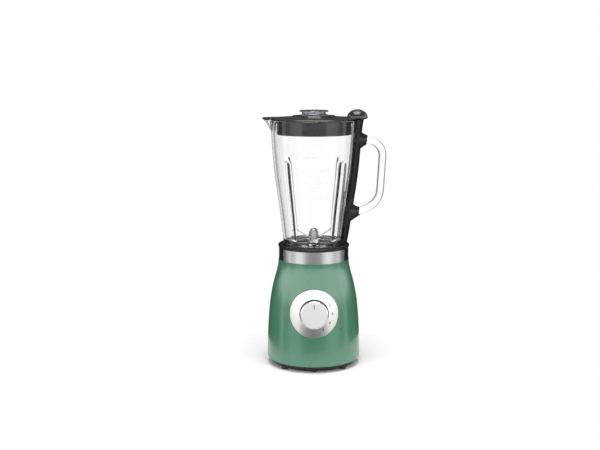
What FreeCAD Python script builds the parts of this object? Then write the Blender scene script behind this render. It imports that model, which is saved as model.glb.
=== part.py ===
import FreeCAD, Part
import math
import os

# Countertop blender: a motor base, a glass jar with its blades, a lid and a filler cap.
# Millimetres, +Z up. Everything is laid out about the drive axis with z = 0 on the
# worktop, +X towards the jar's handle and -Y towards the dial. The finished pieces are
# then shifted so that the origin is at the middle of the overall box, on the worktop.

V = FreeCAD.Vector
UP = V(0, 0, 1)

# ------------------------------------------------------------- driving dimensions (mm)
# Clearances
run_gap = 0.08              # radial gap of a shaft or plunger in its hole
fit_gap = 0.3               # gap between neighbouring pieces that are set into each other

# Motor base shell. Outline: (share of the shell's height, outer radius)
shell_bottom = 9.8
shell_height = 156.2
shell_wall = 2.8
shell_outline = [(0.0, 73.2), (0.21, 72.2), (0.46, 70.0), (0.65, 66.4),
                 (0.80, 61.2), (0.90, 56.9), (1.0, 54.9)]
shell_edge_fillet = 1.6
shoulder_thickness = 3.0    # inward ledge at the top of the shell
shoulder_opening_r = 30.0

# Base plate, feet and screws
plate_bottom = 2.7
plate_thickness = 3.0
plate_set_back = 2.7        # plate's edge inside the shell's foot
plate_slope_width = 4.5
plate_slope_height = 5.0
plate_rim_height = 7.0
plate_rim_wall = 2.5
foot_count = 4
foot_r = 5.6
foot_circle_r = 63.0
foot_pocket = 2.2
pad_r = 3.6
pad_circle_r = 62.2
base_screw_circle_r = 61.0
base_screw_r = 1.6
base_screw_length = 24.0
base_screw_angle = 22.5
screw_post_r = 4.2
boss_height = 34.0
boss_web_half = 1.2
screw_slot_half_length = 2.2
screw_slot_half_width = 0.4
vent_count = 24
vent_width = 3.2
vent_inner_r = 16.0
vent_outer_r = 44.0

# Seat ring on top of the base, with the two bright trim bands
collar_floor = 4.0
collar_set_in = 0.7         # ring's side inside the shell's top
collar_side_height = 18.5
collar_lip_overhang = 1.3
collar_lip_height = 4.4
well_r = 46.5               # seat for the foot of the jar
well_opening_r = 24.0
well_mouth_chamfer = 1.5
band_thickness = 1.0
band_proud = 0.3
band_half_angle = 59.5
lug_count = 4
lug_width = 6.0
lug_depth = 1.6

# Dial on the front
dial_below_top = 73.5       # dial's centre under the shell's top, in front of the motor
dial_tilt = 6.0             # degrees, leaning back with the shell's slope
bezel_r = 36.8
dial_gap = 1.3              # between the knob and the bezel
bezel_recess = 1.2
bezel_proud = 0.8
knob_r = 21.0
knob_front = 13.0           # out from the shell's surface at the dial's centre
knob_back = 8.0
knob_edge_fillet = 1.4
knob_face_margin = 1.6
knob_face_thickness = 0.6
pointer_inner_r = 8.5
pointer_outer_r = 15.5
pointer_width = 1.2
dial_well_wall = 1.8
dial_well_depth = 12.0
switch_body_r = 13.0
switch_body_depth = 15.0
switch_bush_r = 4.5
spindle_r = 3.0
spindle_reach = 5.0
nut_across_corners_r = 6.6

# Universal motor, hung under the shoulder
damper_r = 6.0
damper_length = 22.0
damper_circle_r = 40.0
damper_angle = 22.5
motor_screw_r = 2.0
motor_screw_head = 2.6
motor_screw_end_gap = 0.6   # screw's end below the seat's floor
motor_plate_r = 46.0
motor_plate_thickness = 3.0
plate_window_margin = 13.0
plate_window_half_angle = 24.0
hub_window_gap = 8.0
hub_wall = 3.0
hub_lip = 2.0               # ledge that holds a bearing in its hub
bearing_r = 11.0
bearing_width = 7.0
race_wall = 2.4
race_groove = 0.8
shaft_r = 4.0
stator_r = 33.0
air_gap = 0.6               # between the armature and the stator
stack_length = 38.0
stack_below_top_plate = 14.0
armature_r = 21.0
armature_slots = 12
slot_depth = 2.6            # slot's centre inside the armature's surface
slot_r = 1.8
coil_outer_r = 29.5
coil_half_angle = 38.0
coil_overhang = 6.0
end_turn_length = 5.6
end_turn_cover = 0.3        # wire outside the slots, in the end turns
commutator_r = 11.0
commutator_length = 13.0
commutator_gap = 8.0        # from the stack to the commutator
commutator_bars = 16
lower_plate_gap = 12.0      # from the commutator to the lower motor plate
tie_rod_circle_r = 37.0
tie_rod_r = 2.0
tie_rod_sleeve_r = 3.2
tie_rod_nut_r = 3.8
tie_rod_nut_height = 2.8
tie_rod_ear_wall = 2.0
fan_r = 38.0
fan_height = 11.0
fan_gap = 8.0
fan_blades = 9
brush_half = 3.0
brush_holder_wall = 1.8
brush_length = 12.0
brush_holder_reach = 32.0

# Drive couplings: dogs of the two halves interleave on the drive axis
coupling_r = 17.0
coupling_inner_r = 8.0
dog_count = 4
dog_angle = 40.0
dog_height = 7.4
coupling_hub = 9.0
coupling_gap = 0.8

# Jar. Outline: (share of the jar's height from heel to rim, outer radius)
jar_height = 192.7
jar_wall = 5.0
jar_outline = [(0.0, 46.9), (0.13, 49.4), (0.355, 55.0), (0.575, 60.8),
               (0.79, 64.5), (1.0, 66.8)]
heel_gap = 1.0              # heel of the jar over the seat ring
jar_floor_thickness = 4.5
neck_r = 40.5
neck_bore_r = 33.0
neck_length = 11.1
flute_angle = 45.0
flute_top_below_rim = 62.0
flute_bottom_above_heel = 8.0
flute_groove_r = 4.2
flute_groove_offset = 1.7   # groove's centre outside the glass
flute_ridge_r = 5.2
flute_ridge_inset = 2.0     # ridge's centre behind the inner surface
jar_floor_fillet = 3.5
spout_root_r = 8.0
spout_tip_r = 17.4
spout_centre = 60.0
spout_height = 17.0
spout_wall = 4.2

# Glass handle, fused to the jar
handle_r = 6.0
handle_top_below_rim = 31.8
handle_low_above_heel = 39.8
handle_grip_top_x = 107.3
handle_grip_low_x = 101.6
handle_low_corner_above_heel = 64.4
handle_top_bend_r = 24.0
handle_low_bend_r = 32.0

# Cover strip along the jar under the handle, with a boot at each handle root
strip_half_width = 15.5
strip_thickness = 7.4
strip_foot_thickness = 4.6
strip_top_thickness = 9.6
strip_edge = 1.0
boot_reach_top = 80.9
boot_reach_low = 69.4
boot_face_wall = 2.0
boot_half_width = 12.5
boot_half_height = 19.5
boot_waist_height = 12.6    # half height at mid depth
boot_rounding = 1.2         # face's edge is drawn in by this much
boot_top_drop = 2.2         # upper boot's root below its handle root
boot_low_rise = 2.6         # lower boot's root over its handle root

# Interlock: rod in the strip, plunger and switch in the base
rod_thickness = 1.6
rod_width = 5.0
rod_head_width = 9.0
rod_side_gap = 0.2
rod_glass_gap = 0.6
rod_eye_wall = 2.4          # width of metal each side of a handle root
rod_eye_gap = 1.0           # gap round a handle root, in the rod's eye
plunger_r = 1.2
plunger_from_well = 2.9
plunger_flange_r = 1.95
plunger_travel = 3.0
plunger_spring_wire = 0.4
interlock_length = 15.0
interlock_half_width = 5.0
interlock_height = 16.0

# Jar foot: nut, gasket, blade carrier and blades
nut_side_gap = 0.7
nut_floor = 4.0
carrier_flange = 3.0
carrier_set_in = 0.9        # carrier's edge inside the jar's neck
gasket_thickness = 1.8
carrier_hub_r = 11.0
carrier_rise = 20.0
bush_wall = 4.0
bush_length = 8.0
seal_length = 3.6
blade_reach = 29.0
blade_width = 13.0
blade_thickness = 1.5
blade_flat = 11.0
blade_rise = 12.0
blade_drop = 6.0
blade_nut_r = 7.5

# Lid, its seal and the filler cap
lid_overhang = -0.2         # lid's rim radius beyond the jar's rim
lid_rim_thickness = 1.7
lid_crown_r = 33.5
lid_crown_rise = 4.6
lid_step = 2.2
lid_skirt_depth = 21.5
lid_skirt_gap = 5.9         # skirt inside the jar's mouth
lid_skirt_wall = 2.4
lid_spout_overhang = 1.5
lid_spout_thickness = 2.6
seal_wall = 1.4
seal_ribs = 5
seal_rib_reach = 2.2
seal_bead_reach = 4.7
filler_r = 19.3
filler_wall = 2.2
filler_depth = 19.0
cap_wall = 1.8
cap_rest_overlap = 1.3
cap_waist_inset = 1.4
cap_flange_overlap = 3.4
cap_rise = 7.2
cap_flange_thickness = 2.0
dome_x = 66.5
dome_r = 16.0
dome_half_width = 14.0
dome_rise = 13.2
dome_lip = 2.1              # short underside of the dome, before the stretch
dome_lip_inset = 2.4
dome_seat = 2.0             # dome's widest level over the rim
dome_pocket_half = 6.0

# Electrics in the base
board_width = 50.0
board_height = 34.0
board_thickness = 1.6
board_y = 47.0
board_post_r = 3.0
clamp_half_width = 11.0
clamp_inner_y = 46.0
clamp_outer_y = 53.0
clamp_base_height = 12.0
clamp_foot_height = 2.4
clamp_bar_thickness = 3.0
clamp_screw_x = 8.5
clamp_screw_r = 1.5
clamp_head_height = 1.8
gland_height = 30.0
gland_r = 5.0
gland_bore_r = 3.4
gland_flange_r = 7.0
lead_r = 1.1
lead_circle_r = 52.0
lead_bend_r = 3.0

# ------------------------------------------------------------------- derived radii
plate_step_r = shell_outline[0][1] - plate_set_back
plate_foot_r = plate_step_r - plate_slope_width
collar_side_r = shell_outline[-1][1] - collar_set_in
collar_lip_r = collar_side_r + collar_lip_overhang
band_outer_r = collar_side_r + band_proud
plunger_x = well_r + plunger_from_well
nut_wall_r = well_r - nut_side_gap
carrier_r = neck_r - carrier_set_in

bezel_inner_r = knob_r + dial_gap
knob_face_r = knob_r - knob_face_margin
stator_bore_r = armature_r + air_gap
slot_circle_r = armature_r - slot_depth

boot_face_r = handle_r + boot_face_wall
lid_spout_r = spout_tip_r + lid_spout_overhang
lid_skirt_r = jar_outline[-1][1] - jar_wall - lid_skirt_gap
seal_rib_r = lid_skirt_r + seal_rib_reach
seal_bead_r = lid_skirt_r + seal_bead_reach
cap_rest_r = filler_r + cap_rest_overlap
cap_waist_r = filler_r - cap_waist_inset
cap_flange_r = filler_r + cap_flange_overlap

# ------------------------------------------------------------------- derived levels
shell_top = shell_bottom + shell_height
shoulder_bottom = shell_top - shoulder_thickness
dial_height = shell_top - dial_below_top
well_floor = shell_top + collar_floor
collar_side_top = shell_top + collar_side_height
collar_top = collar_side_top + collar_lip_height
heel = collar_top + heel_gap
rim = heel + jar_height

motor_plate_top = shoulder_bottom - damper_length
motor_plate_under = motor_plate_top - motor_plate_thickness
stack_top = motor_plate_under - stack_below_top_plate
stack_bottom = stack_top - stack_length
commutator_top = stack_bottom - commutator_gap - end_turn_length
commutator_bottom = commutator_top - commutator_length
lower_plate_top = commutator_bottom - lower_plate_gap
lower_plate_under = lower_plate_top - motor_plate_thickness
fan_top = lower_plate_under - fan_gap
fan_bottom = fan_top - fan_height

drive_hub_top = well_floor - coupling_hub + 3.2
drive_dog_top = drive_hub_top + dog_height
driven_hub_bottom = drive_dog_top + coupling_gap
driven_dog_bottom = drive_hub_top + coupling_gap

neck_bottom = heel - neck_length
carrier_bottom = neck_bottom - gasket_thickness - carrier_flange
carrier_top = carrier_bottom + carrier_flange + carrier_rise
blade_seat = carrier_top + 1.5
jar_floor = heel + jar_floor_thickness

lid_crown = rim + lid_rim_thickness + lid_crown_rise


# ------------------------------------------------------------------- small helpers
def cyl(r, z0, z1, x=0.0, y=0.0):
    """Upright cylinder from z0 to z1."""
    return Part.makeCylinder(r, z1 - z0, V(x, y, z0))


def tube(r_out, r_in, z0, z1, x=0.0, y=0.0):
    """Upright tube from z0 to z1."""
    return cyl(r_out, z0, z1, x, y).cut(cyl(r_in, z0, z1, x, y))


def box(x0, x1, y0, y1, z0, z1):
    """Box between two corners."""
    return Part.makeBox(x1 - x0, y1 - y0, z1 - z0, V(x0, y0, z0))


def turned(points):
    """Solid of revolution from (radius, z) corners."""
    corners = [V(r, 0, z) for r, z in points]
    face = Part.Face(Part.makePolygon(corners + corners[:1]))
    return face.revolve(V(0, 0, 0), UP, 360)


def outline_curve(outline, z0, height, offset=0.0):
    """Smooth generatrix through an outline, moved sideways by offset."""
    curve = Part.BSplineCurve()
    curve.interpolate([V(r + offset, 0, z0 + share * height) for share, r in outline])
    return curve


def radius_at(curve, z):
    """Radius of a generatrix at height z, by bisection."""
    low = curve.FirstParameter
    high = curve.LastParameter
    for _ in range(40):
        middle = (low + high) / 2
        if curve.value(middle).z < z:
            low = middle
        else:
            high = middle
    return curve.value(low).x


def turned_under(curve):
    """Solid between the drive axis and a generatrix."""
    foot = curve.StartPoint
    head = curve.EndPoint
    edges = [
        Part.makeLine(V(0, 0, foot.z), foot),
        curve.toShape(),
        Part.makeLine(head, V(0, 0, head.z)),
        Part.makeLine(V(0, 0, head.z), V(0, 0, foot.z)),
    ]
    return Part.Face(Part.Wire(edges)).revolve(V(0, 0, 0), UP, 360)


def sector(r, z0, z1, middle, half_angle):
    """Pie slice of a cylinder about the angle middle, in degrees from +X."""
    slice_ = Part.makeCylinder(r, z1 - z0, V(0, 0, z0), UP, 2 * half_angle)
    slice_.rotate(V(0, 0, 0), UP, middle - half_angle)
    return slice_


def around(shape, count, start=0.0):
    """Copies of a shape evenly spaced round the drive axis, as a list."""
    copies = []
    for index in range(count):
        copy = shape.copy()
        copy.rotate(V(0, 0, 0), UP, start + index * 360.0 / count)
        copies.append(copy)
    return copies


def fused(shapes):
    """Union of a list of touching shapes."""
    return shapes[0].multiFuse(shapes[1:]).removeSplitter()


def group(shapes):
    """Separate solids that share one node."""
    return Part.makeCompound(shapes)


def cut_all(shape, tools):
    """Shape with every tool taken away."""
    for tool in tools:
        shape = shape.cut(tool)
    return shape


def hexagon(r, z0, z1):
    """Upright hexagonal prism of corner radius r."""
    corners = [V(r * math.cos(math.radians(60 * k)), r * math.sin(math.radians(60 * k)), z0)
               for k in range(6)]
    return Part.Face(Part.makePolygon(corners + corners[:1])).extrude(V(0, 0, z1 - z0))


def pipe(path_edges, r):
    """Round bar of radius r along joined tangent edges."""
    path = Part.Wire(path_edges)
    start = path_edges[0].valueAt(path_edges[0].FirstParameter)
    heading = path_edges[0].tangentAt(path_edges[0].FirstParameter)
    section = Part.Wire(Part.makeCircle(r, start, heading))
    return path.makePipeShell([section], True, True)


def bent_path(points, bends):
    """Edges of a path through points, with a tangent arc of its own radius at each corner."""
    edges = []
    last = points[0]
    for before, corner, after, bend_r in zip(points, points[1:], points[2:], bends):
        back = (before - corner).normalize()
        ahead = (after - corner).normalize()
        half = back.getAngle(ahead) / 2
        setback = bend_r / math.tan(half)
        bisector = (back + ahead).normalize()
        enter = corner + back * setback
        leave = corner + ahead * setback
        middle = corner + bisector * (bend_r / math.sin(half) - bend_r)
        edges.append(Part.makeLine(last, enter))
        edges.append(Part.Arc(enter, middle, leave).toShape())
        last = leave
    edges.append(Part.makeLine(last, points[-1]))
    return edges


def coil_spring(mean_r, wire_r, length, turns):
    """Helical spring standing on z = 0."""
    helix = Part.makeHelix((length - 2 * wire_r) / turns, length - 2 * wire_r, mean_r)
    section = Part.Wire(Part.makeCircle(wire_r, V(mean_r, 0, 0), V(0, 1, 0)))
    spring = Part.Wire(helix).makePipeShell([section], True, True)
    spring.translate(V(0, 0, wire_r))
    return spring


# ------------------------------------------------------------------- shared curves
shell_curve = outline_curve(shell_outline, shell_bottom, shell_height)
jar_curve = outline_curve(jar_outline, heel, jar_height)
jar_inner_curve = outline_curve(jar_outline, heel, jar_height, -jar_wall)

dial_surface_r = radius_at(shell_curve, dial_height)
dial_frame = FreeCAD.Placement(V(0, -dial_surface_r, dial_height),
                               FreeCAD.Rotation(V(1, 0, 0), 90 - dial_tilt))


def on_dial(shape):
    """Move a shape from the dial's own frame, z outwards, onto the shell."""
    placed = shape.copy()
    placed.Placement = dial_frame.multiply(placed.Placement)
    return placed


# ------------------------------------------------------------------- motor base shell
def body_shell():
    shell = turned_under(shell_curve)
    lower_edges = [e for e in shell.Edges
                   if abs(e.BoundBox.ZMax - shell_bottom) < 0.01 and e.Length > shell_outline[0][1]]
    shell = shell.makeFillet(shell_edge_fillet, lower_edges)
    hollow = turned_under(outline_curve(shell_outline, shell_bottom, shell_height, -shell_wall))
    shell = shell.cut(hollow.common(cyl(shell_outline[0][1], shell_bottom, shoulder_bottom)))
    shell = shell.cut(cyl(shoulder_opening_r, shoulder_bottom, shell_top))

    # Screw bosses on webs, board posts on the rear wall
    boss_bottom = plate_bottom + plate_thickness + screw_post_height() + fit_gap
    boss = cyl(screw_post_r, boss_bottom, boss_bottom + boss_height, base_screw_circle_r)
    web_end = radius_at(shell_curve, boss_bottom + boss_height) - shell_wall / 2
    web = box(base_screw_circle_r, web_end, -boss_web_half, boss_web_half, boss_bottom,
              boss_bottom + boss_height)
    pilot = cyl(base_screw_r, boss_bottom, plate_bottom + plate_thickness + base_screw_length,
                base_screw_circle_r)
    bosses = around(boss.fuse(web).cut(pilot), foot_count, base_screw_angle)
    post_length = radius_at(shell_curve, board_z()) - shell_wall / 2 - board_y - board_thickness
    for side in (-1, 1):
        post = Part.makeCylinder(board_post_r, post_length,
                                 V(side * board_width / 3, board_y + board_thickness, board_z()),
                                 V(0, 1, 0))
        bosses.append(post.common(turned_under(shell_curve)))
    shell = fused([shell] + bosses)

    # Openings: dial recess and well, gland, motor screws, interlock plunger
    over = turned_under(outline_curve(shell_outline, shell_bottom, shell_height, 10))
    under = turned_under(outline_curve(shell_outline, shell_bottom, shell_height, -bezel_recess))
    recess = over.cut(under).common(on_dial(cyl(bezel_r + fit_gap, -bezel_r / 2, bezel_r / 2)))
    holes = [recess]
    holes.append(on_dial(cyl(dial_well_r() + fit_gap / 2, -bezel_r / 2, bezel_r / 2)))
    holes.append(Part.makeCylinder(gland_r, shell_outline[0][1], V(0, 0, gland_height), V(0, 1, 0)))
    holes += around(cyl(motor_screw_r, shoulder_bottom, shell_top, damper_circle_r), foot_count,
                    damper_angle)
    holes.append(cyl(plunger_r + run_gap, shoulder_bottom, shell_top, plunger_x))
    return cut_all(shell, holes)


def screw_post_height():
    """Height of the base plate's screw posts above the plate."""
    return plate_rim_height + shell_bottom - plate_bottom - plate_thickness


def dial_well_r():
    """Outer radius of the cup that the knob turns in."""
    return bezel_inner_r + dial_well_wall


def board_z():
    """Height of the control board's middle."""
    return (stack_top + stack_bottom) / 2


# ------------------------------------------------------------------- base plate and feet
def base_plate():
    floor_top = plate_bottom + plate_thickness
    rim_r = shell_outline[0][1] - shell_wall - fit_gap
    plate = turned([
        (0, plate_bottom), (plate_foot_r, plate_bottom),
        (plate_step_r, plate_bottom + plate_slope_height), (plate_step_r, shell_bottom),
        (rim_r, shell_bottom), (rim_r - 0.4, shell_bottom + plate_rim_height),
        (rim_r - plate_rim_wall, shell_bottom + plate_rim_height),
        (rim_r - plate_rim_wall, floor_top), (0, floor_top),
    ])
    post = cyl(screw_post_r, floor_top, floor_top + screw_post_height(), base_screw_circle_r)
    plate = fused([plate] + around(post, foot_count, base_screw_angle) + [clamp_base()])
    cuts = around(cyl(base_screw_r + fit_gap, plate_bottom, floor_top + screw_post_height(),
                      base_screw_circle_r), foot_count, base_screw_angle)
    cuts += around(cyl(base_screw_r * 2 + fit_gap, plate_bottom, floor_top, base_screw_circle_r),
                   foot_count, base_screw_angle)
    cuts += around(cyl(foot_r, plate_bottom, plate_bottom + foot_pocket, foot_circle_r), foot_count,
                   180.0 / foot_count)
    cuts += around(cyl(pad_r, plate_bottom, plate_bottom + foot_pocket, pad_circle_r), foot_count)
    slot = box(vent_inner_r, vent_outer_r, -vent_width / 2, vent_width / 2, plate_bottom, floor_top)
    cuts += around(slot, vent_count, 180.0 / vent_count)
    return cut_all(plate, cuts)


def clamp_base():
    """Block on the base plate that carries the cord clamp."""
    return box(-clamp_half_width, clamp_half_width, clamp_inner_y, clamp_outer_y,
               plate_bottom + plate_thickness, clamp_level())


def clamp_level():
    """Top of the block, where the cord lies."""
    return plate_bottom + plate_thickness + clamp_base_height


def rubber_feet():
    foot = cyl(foot_r, 0, plate_bottom + foot_pocket, foot_circle_r)
    return group(around(foot, foot_count, 180.0 / foot_count))


def foot_pads():
    pad = cyl(pad_r, 0, plate_bottom + foot_pocket, pad_circle_r)
    return group(around(pad, foot_count))


def base_screws():
    head_top = plate_bottom + plate_thickness
    head = cyl(base_screw_r * 2, head_top - base_screw_r, head_top, base_screw_circle_r)
    shank = cyl(base_screw_r, head_top, head_top + base_screw_length - 1, base_screw_circle_r)
    slot = box(base_screw_circle_r - screw_slot_half_length,
               base_screw_circle_r + screw_slot_half_length, -screw_slot_half_width,
               screw_slot_half_width, head_top - base_screw_r, head_top - base_screw_r / 2)
    return group(around(head.fuse(shank).cut(slot), foot_count, base_screw_angle))


# ------------------------------------------------------------------- seat ring and trim
def top_collar():
    body = turned([
        (well_opening_r, shell_top), (collar_side_r, shell_top),
        (collar_side_r, collar_side_top), (collar_lip_r, collar_side_top + collar_lip_height / 2),
        (collar_lip_r, collar_top - 0.6), (collar_lip_r - 0.6, collar_top),
        (well_r + well_mouth_chamfer, collar_top), (well_r, collar_top - well_mouth_chamfer),
        (well_r, well_floor), (well_opening_r, well_floor),
    ])
    band_seat = tube(collar_lip_r, band_outer_r - band_thickness - 0.1, shell_top, collar_side_top)
    cuts = [band_seat.common(sector(collar_lip_r + 1, shell_top, collar_side_top, side,
                                    band_half_angle + 0.5)) for side in (-90, 90)]
    notch = box(well_r - 5, well_r + lug_depth, -lug_width / 2 - fit_gap, lug_width / 2 + fit_gap,
                well_floor, collar_top)
    cuts += around(notch, lug_count, 45)
    cuts += around(cyl(motor_screw_r, shell_top, well_floor - motor_screw_end_gap,
                       damper_circle_r), foot_count, damper_angle)
    cuts.append(cyl(plunger_r + run_gap, shell_top, collar_top, plunger_x))
    cuts.append(cyl(plunger_flange_r + run_gap, shell_top, plunger_flange_top() + plunger_travel + 1,
                    plunger_x))
    return cut_all(body, cuts)


def trim_band(middle):
    """Bright sheet-metal band let into the seat ring, front or rear."""
    ring = tube(band_outer_r, band_outer_r - band_thickness, shell_top + 0.1, collar_side_top - 0.1)
    return ring.common(sector(collar_lip_r, shell_top, collar_top, middle, band_half_angle))


# ------------------------------------------------------------------- dial
def dial_bezel():
    skin = turned_under(outline_curve(shell_outline, shell_bottom, shell_height, bezel_proud))
    back = turned_under(outline_curve(shell_outline, shell_bottom, shell_height, -bezel_recess))
    disc = on_dial(tube(bezel_r, bezel_inner_r, -bezel_r / 2, bezel_r / 2))
    return disc.common(skin).cut(back)


def dial_well():
    cup = cyl(dial_well_r(), -dial_well_depth, bezel_r / 2)
    cup = cup.cut(cyl(bezel_inner_r, -dial_well_depth + dial_well_wall, bezel_r / 2))
    cup = cup.cut(cyl(switch_bush_r, -dial_well_depth, 0))
    back = turned_under(outline_curve(shell_outline, shell_bottom, shell_height, -bezel_recess))
    return on_dial(cup).common(back)


def dial_knob():
    knob = cyl(knob_r, -knob_back, knob_front)
    front_edge = [e for e in knob.Edges if abs(e.BoundBox.ZMin - knob_front) < 0.01]
    knob = knob.makeFillet(knob_edge_fillet, front_edge)
    nut_space = cyl(nut_across_corners_r + 1, -knob_back, -knob_back + 4)
    bore = cyl(spindle_r, -knob_back, spindle_reach)
    face_seat = cyl(knob_face_r, knob_front - knob_face_thickness, knob_front)
    return on_dial(cut_all(knob, [nut_space, bore, face_seat]))


def knob_face():
    disc = cyl(knob_face_r, knob_front - knob_face_thickness, knob_front)
    return on_dial(disc.cut(pointer_bar()))


def pointer_bar():
    return box(-pointer_width / 2, pointer_width / 2, pointer_inner_r, pointer_outer_r,
               knob_front - knob_face_thickness, knob_front)


def switch_spindle():
    return on_dial(cyl(spindle_r, -dial_well_depth - switch_body_depth / 2, spindle_reach))


def rotary_switch():
    can = cyl(switch_body_r, -dial_well_depth - switch_body_depth, -dial_well_depth)
    bush = cyl(switch_bush_r, -dial_well_depth, -knob_back + 1)
    tag = box(-1.5, 1.5, switch_body_r - 1, switch_body_r + 5,
              -dial_well_depth - switch_body_depth + 2, -dial_well_depth - switch_body_depth + 3)
    tags = []
    for index in range(5):
        lug = tag.copy()
        lug.rotate(V(0, 0, 0), UP, 110 + 35 * index)
        tags.append(lug)
    bore = cyl(spindle_r + run_gap, -dial_well_depth - switch_body_depth / 2 - 1, -knob_back + 1)
    return on_dial(fused([can, bush] + tags).cut(bore))


def switch_nut():
    seat = -dial_well_depth + dial_well_wall
    nut = hexagon(nut_across_corners_r, seat, seat + 2.4)
    return on_dial(nut.cut(cyl(switch_bush_r, seat, seat + 2.4)))


# ------------------------------------------------------------------- motor, fixed pieces
def motor_plate(z_under, hub_bottom, hub_top, lip_z0, lip_z1):
    """Plate that carries one bearing, the tie rods and, at the top, the dampers."""
    plate = cyl(motor_plate_r, z_under, z_under + motor_plate_thickness)
    hub = cyl(bearing_r + hub_wall, hub_bottom, hub_top)
    window = sector(motor_plate_r - plate_window_margin, z_under, z_under + motor_plate_thickness,
                    0, plate_window_half_angle)
    window = window.cut(cyl(bearing_r + hub_window_gap, z_under, z_under + motor_plate_thickness))
    cuts = around(window, 4)
    cuts.append(cyl(bearing_r, hub_bottom, hub_top).cut(cyl(bearing_r, lip_z0, lip_z1)))
    cuts.append(cyl(shaft_r + hub_wall, hub_bottom, hub_top))
    cuts += around(cyl(tie_rod_r, z_under, z_under + motor_plate_thickness, tie_rod_circle_r), 4, 45)
    return cut_all(plate.fuse(hub), cuts)


def motor_top_plate():
    hub_bottom = motor_plate_top - bearing_width - hub_lip
    plate = motor_plate(motor_plate_under, hub_bottom, motor_plate_top, motor_plate_top - hub_lip,
                        motor_plate_top)
    holes = around(cyl(motor_screw_r, motor_plate_under, motor_plate_top, damper_circle_r),
                   foot_count, damper_angle)
    return cut_all(plate, holes)


def motor_low_plate():
    return motor_plate(lower_plate_under, lower_plate_under,
                       lower_plate_under + bearing_width + hub_lip, lower_plate_under,
                       lower_plate_under + hub_lip)


def bearing(z0):
    """Ball bearing drawn as one ring with a groove between its races."""
    ring = tube(bearing_r, shaft_r + run_gap, z0, z0 + bearing_width)
    groove_outer = bearing_r - race_wall
    groove_inner = shaft_r + race_wall
    top = tube(groove_outer, groove_inner, z0 + bearing_width - race_groove, z0 + bearing_width)
    bottom = tube(groove_outer, groove_inner, z0, z0 + race_groove)
    return cut_all(ring, [top, bottom])


def tie_rods():
    through = cyl(tie_rod_r, lower_plate_under, motor_plate_top, tie_rod_circle_r)
    low_sleeve = cyl(tie_rod_sleeve_r, lower_plate_top, stack_bottom, tie_rod_circle_r)
    top_sleeve = cyl(tie_rod_sleeve_r, stack_top, motor_plate_under, tie_rod_circle_r)
    head = hexagon(tie_rod_nut_r, lower_plate_under - tie_rod_nut_height, lower_plate_under)
    nut = hexagon(tie_rod_nut_r, motor_plate_top, motor_plate_top + tie_rod_nut_height)
    for end in (head, nut):
        end.translate(V(tie_rod_circle_r, 0, 0))
    return group(around(fused([through, low_sleeve, top_sleeve, head, nut]), 4, 45))


def stator_core():
    ring = cyl(stator_r, stack_bottom, stack_top)
    ear = cyl(tie_rod_sleeve_r + tie_rod_ear_wall, stack_bottom, stack_top, tie_rod_circle_r)
    ring = fused([ring] + around(ear, 4, 45))
    slot = tube(coil_outer_r + 0.2, stator_bore_r, stack_bottom, stack_top)
    cuts = [slot.common(sector(stator_r, stack_bottom, stack_top, side, coil_half_angle + 0.5))
            for side in (-90, 90)]
    cuts.append(cyl(stator_bore_r, stack_bottom, stack_top))
    cuts += around(cyl(tie_rod_r, stack_bottom, stack_top, tie_rod_circle_r), 4, 45)
    return cut_all(ring, cuts)


def stator_windings():
    bundle = tube(coil_outer_r, stator_bore_r + 0.6, stack_bottom - coil_overhang,
                  stack_top + coil_overhang)
    return group([bundle.common(sector(stator_r, stack_bottom - coil_overhang,
                                       stack_top + coil_overhang, side, coil_half_angle))
                  for side in (-90, 90)])


def brush_z():
    """Height of the brushes' middle."""
    return (commutator_top + commutator_bottom) / 2


def brush_holders():
    half = brush_half + brush_holder_wall
    start = commutator_r + 1.2
    holder = box(start, brush_holder_reach, -half, half, brush_z() - half, brush_z() + half)
    channel = box(start, brush_holder_reach - brush_holder_wall, -brush_half - 0.1,
                  brush_half + 0.1, brush_z() - brush_half - 0.1, brush_z() + brush_half + 0.1)
    leg = box(brush_holder_reach - 8, brush_holder_reach, -half, half, lower_plate_top,
              brush_z() - half)
    return group(around(holder.cut(channel).fuse(leg), 2, 45))


def carbon_brushes():
    start = commutator_r
    brush = box(start, start + brush_length, -brush_half, brush_half, brush_z() - brush_half,
                brush_z() + brush_half)
    face = cyl(commutator_r + fit_gap, brush_z() - 5, brush_z() + 5)
    return group(around(brush.cut(face), 2, 45))


def brush_springs():
    start = commutator_r + brush_length
    length = brush_holder_reach - brush_holder_wall - start
    spring = coil_spring(brush_half - 0.9, 0.35, length, 6)
    spring.rotate(V(0, 0, 0), V(0, 1, 0), 90)
    spring.translate(V(start, 0, brush_z()))
    return group(around(spring, 2, 45))


def vibration_dampers():
    sleeve = tube(damper_r, motor_screw_r, motor_plate_top, shoulder_bottom)
    waist = tube(damper_r + 1, damper_r - 1.2, motor_plate_top + damper_length / 3,
                 shoulder_bottom - damper_length / 3)
    grommet = sleeve.cut(waist)
    grommet.translate(V(damper_circle_r, 0, 0))
    return group(around(grommet, foot_count, damper_angle))


def motor_screws():
    head = cyl(1.9 * motor_screw_r, motor_plate_under - motor_screw_head, motor_plate_under,
               damper_circle_r)
    shank = cyl(motor_screw_r, motor_plate_under, well_floor - motor_screw_end_gap,
                damper_circle_r)
    return group(around(head.fuse(shank), foot_count, damper_angle))


# ------------------------------------------------------------------- motor, turning pieces
def motor_shaft():
    return cyl(shaft_r, fan_bottom - 2, drive_hub_top)


def armature_core():
    core = cyl(armature_r, stack_bottom, stack_top)
    cuts = around(cyl(slot_r, stack_bottom, stack_top, slot_circle_r), armature_slots)
    cuts.append(cyl(shaft_r, stack_bottom, stack_top))
    return cut_all(core, cuts)


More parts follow.
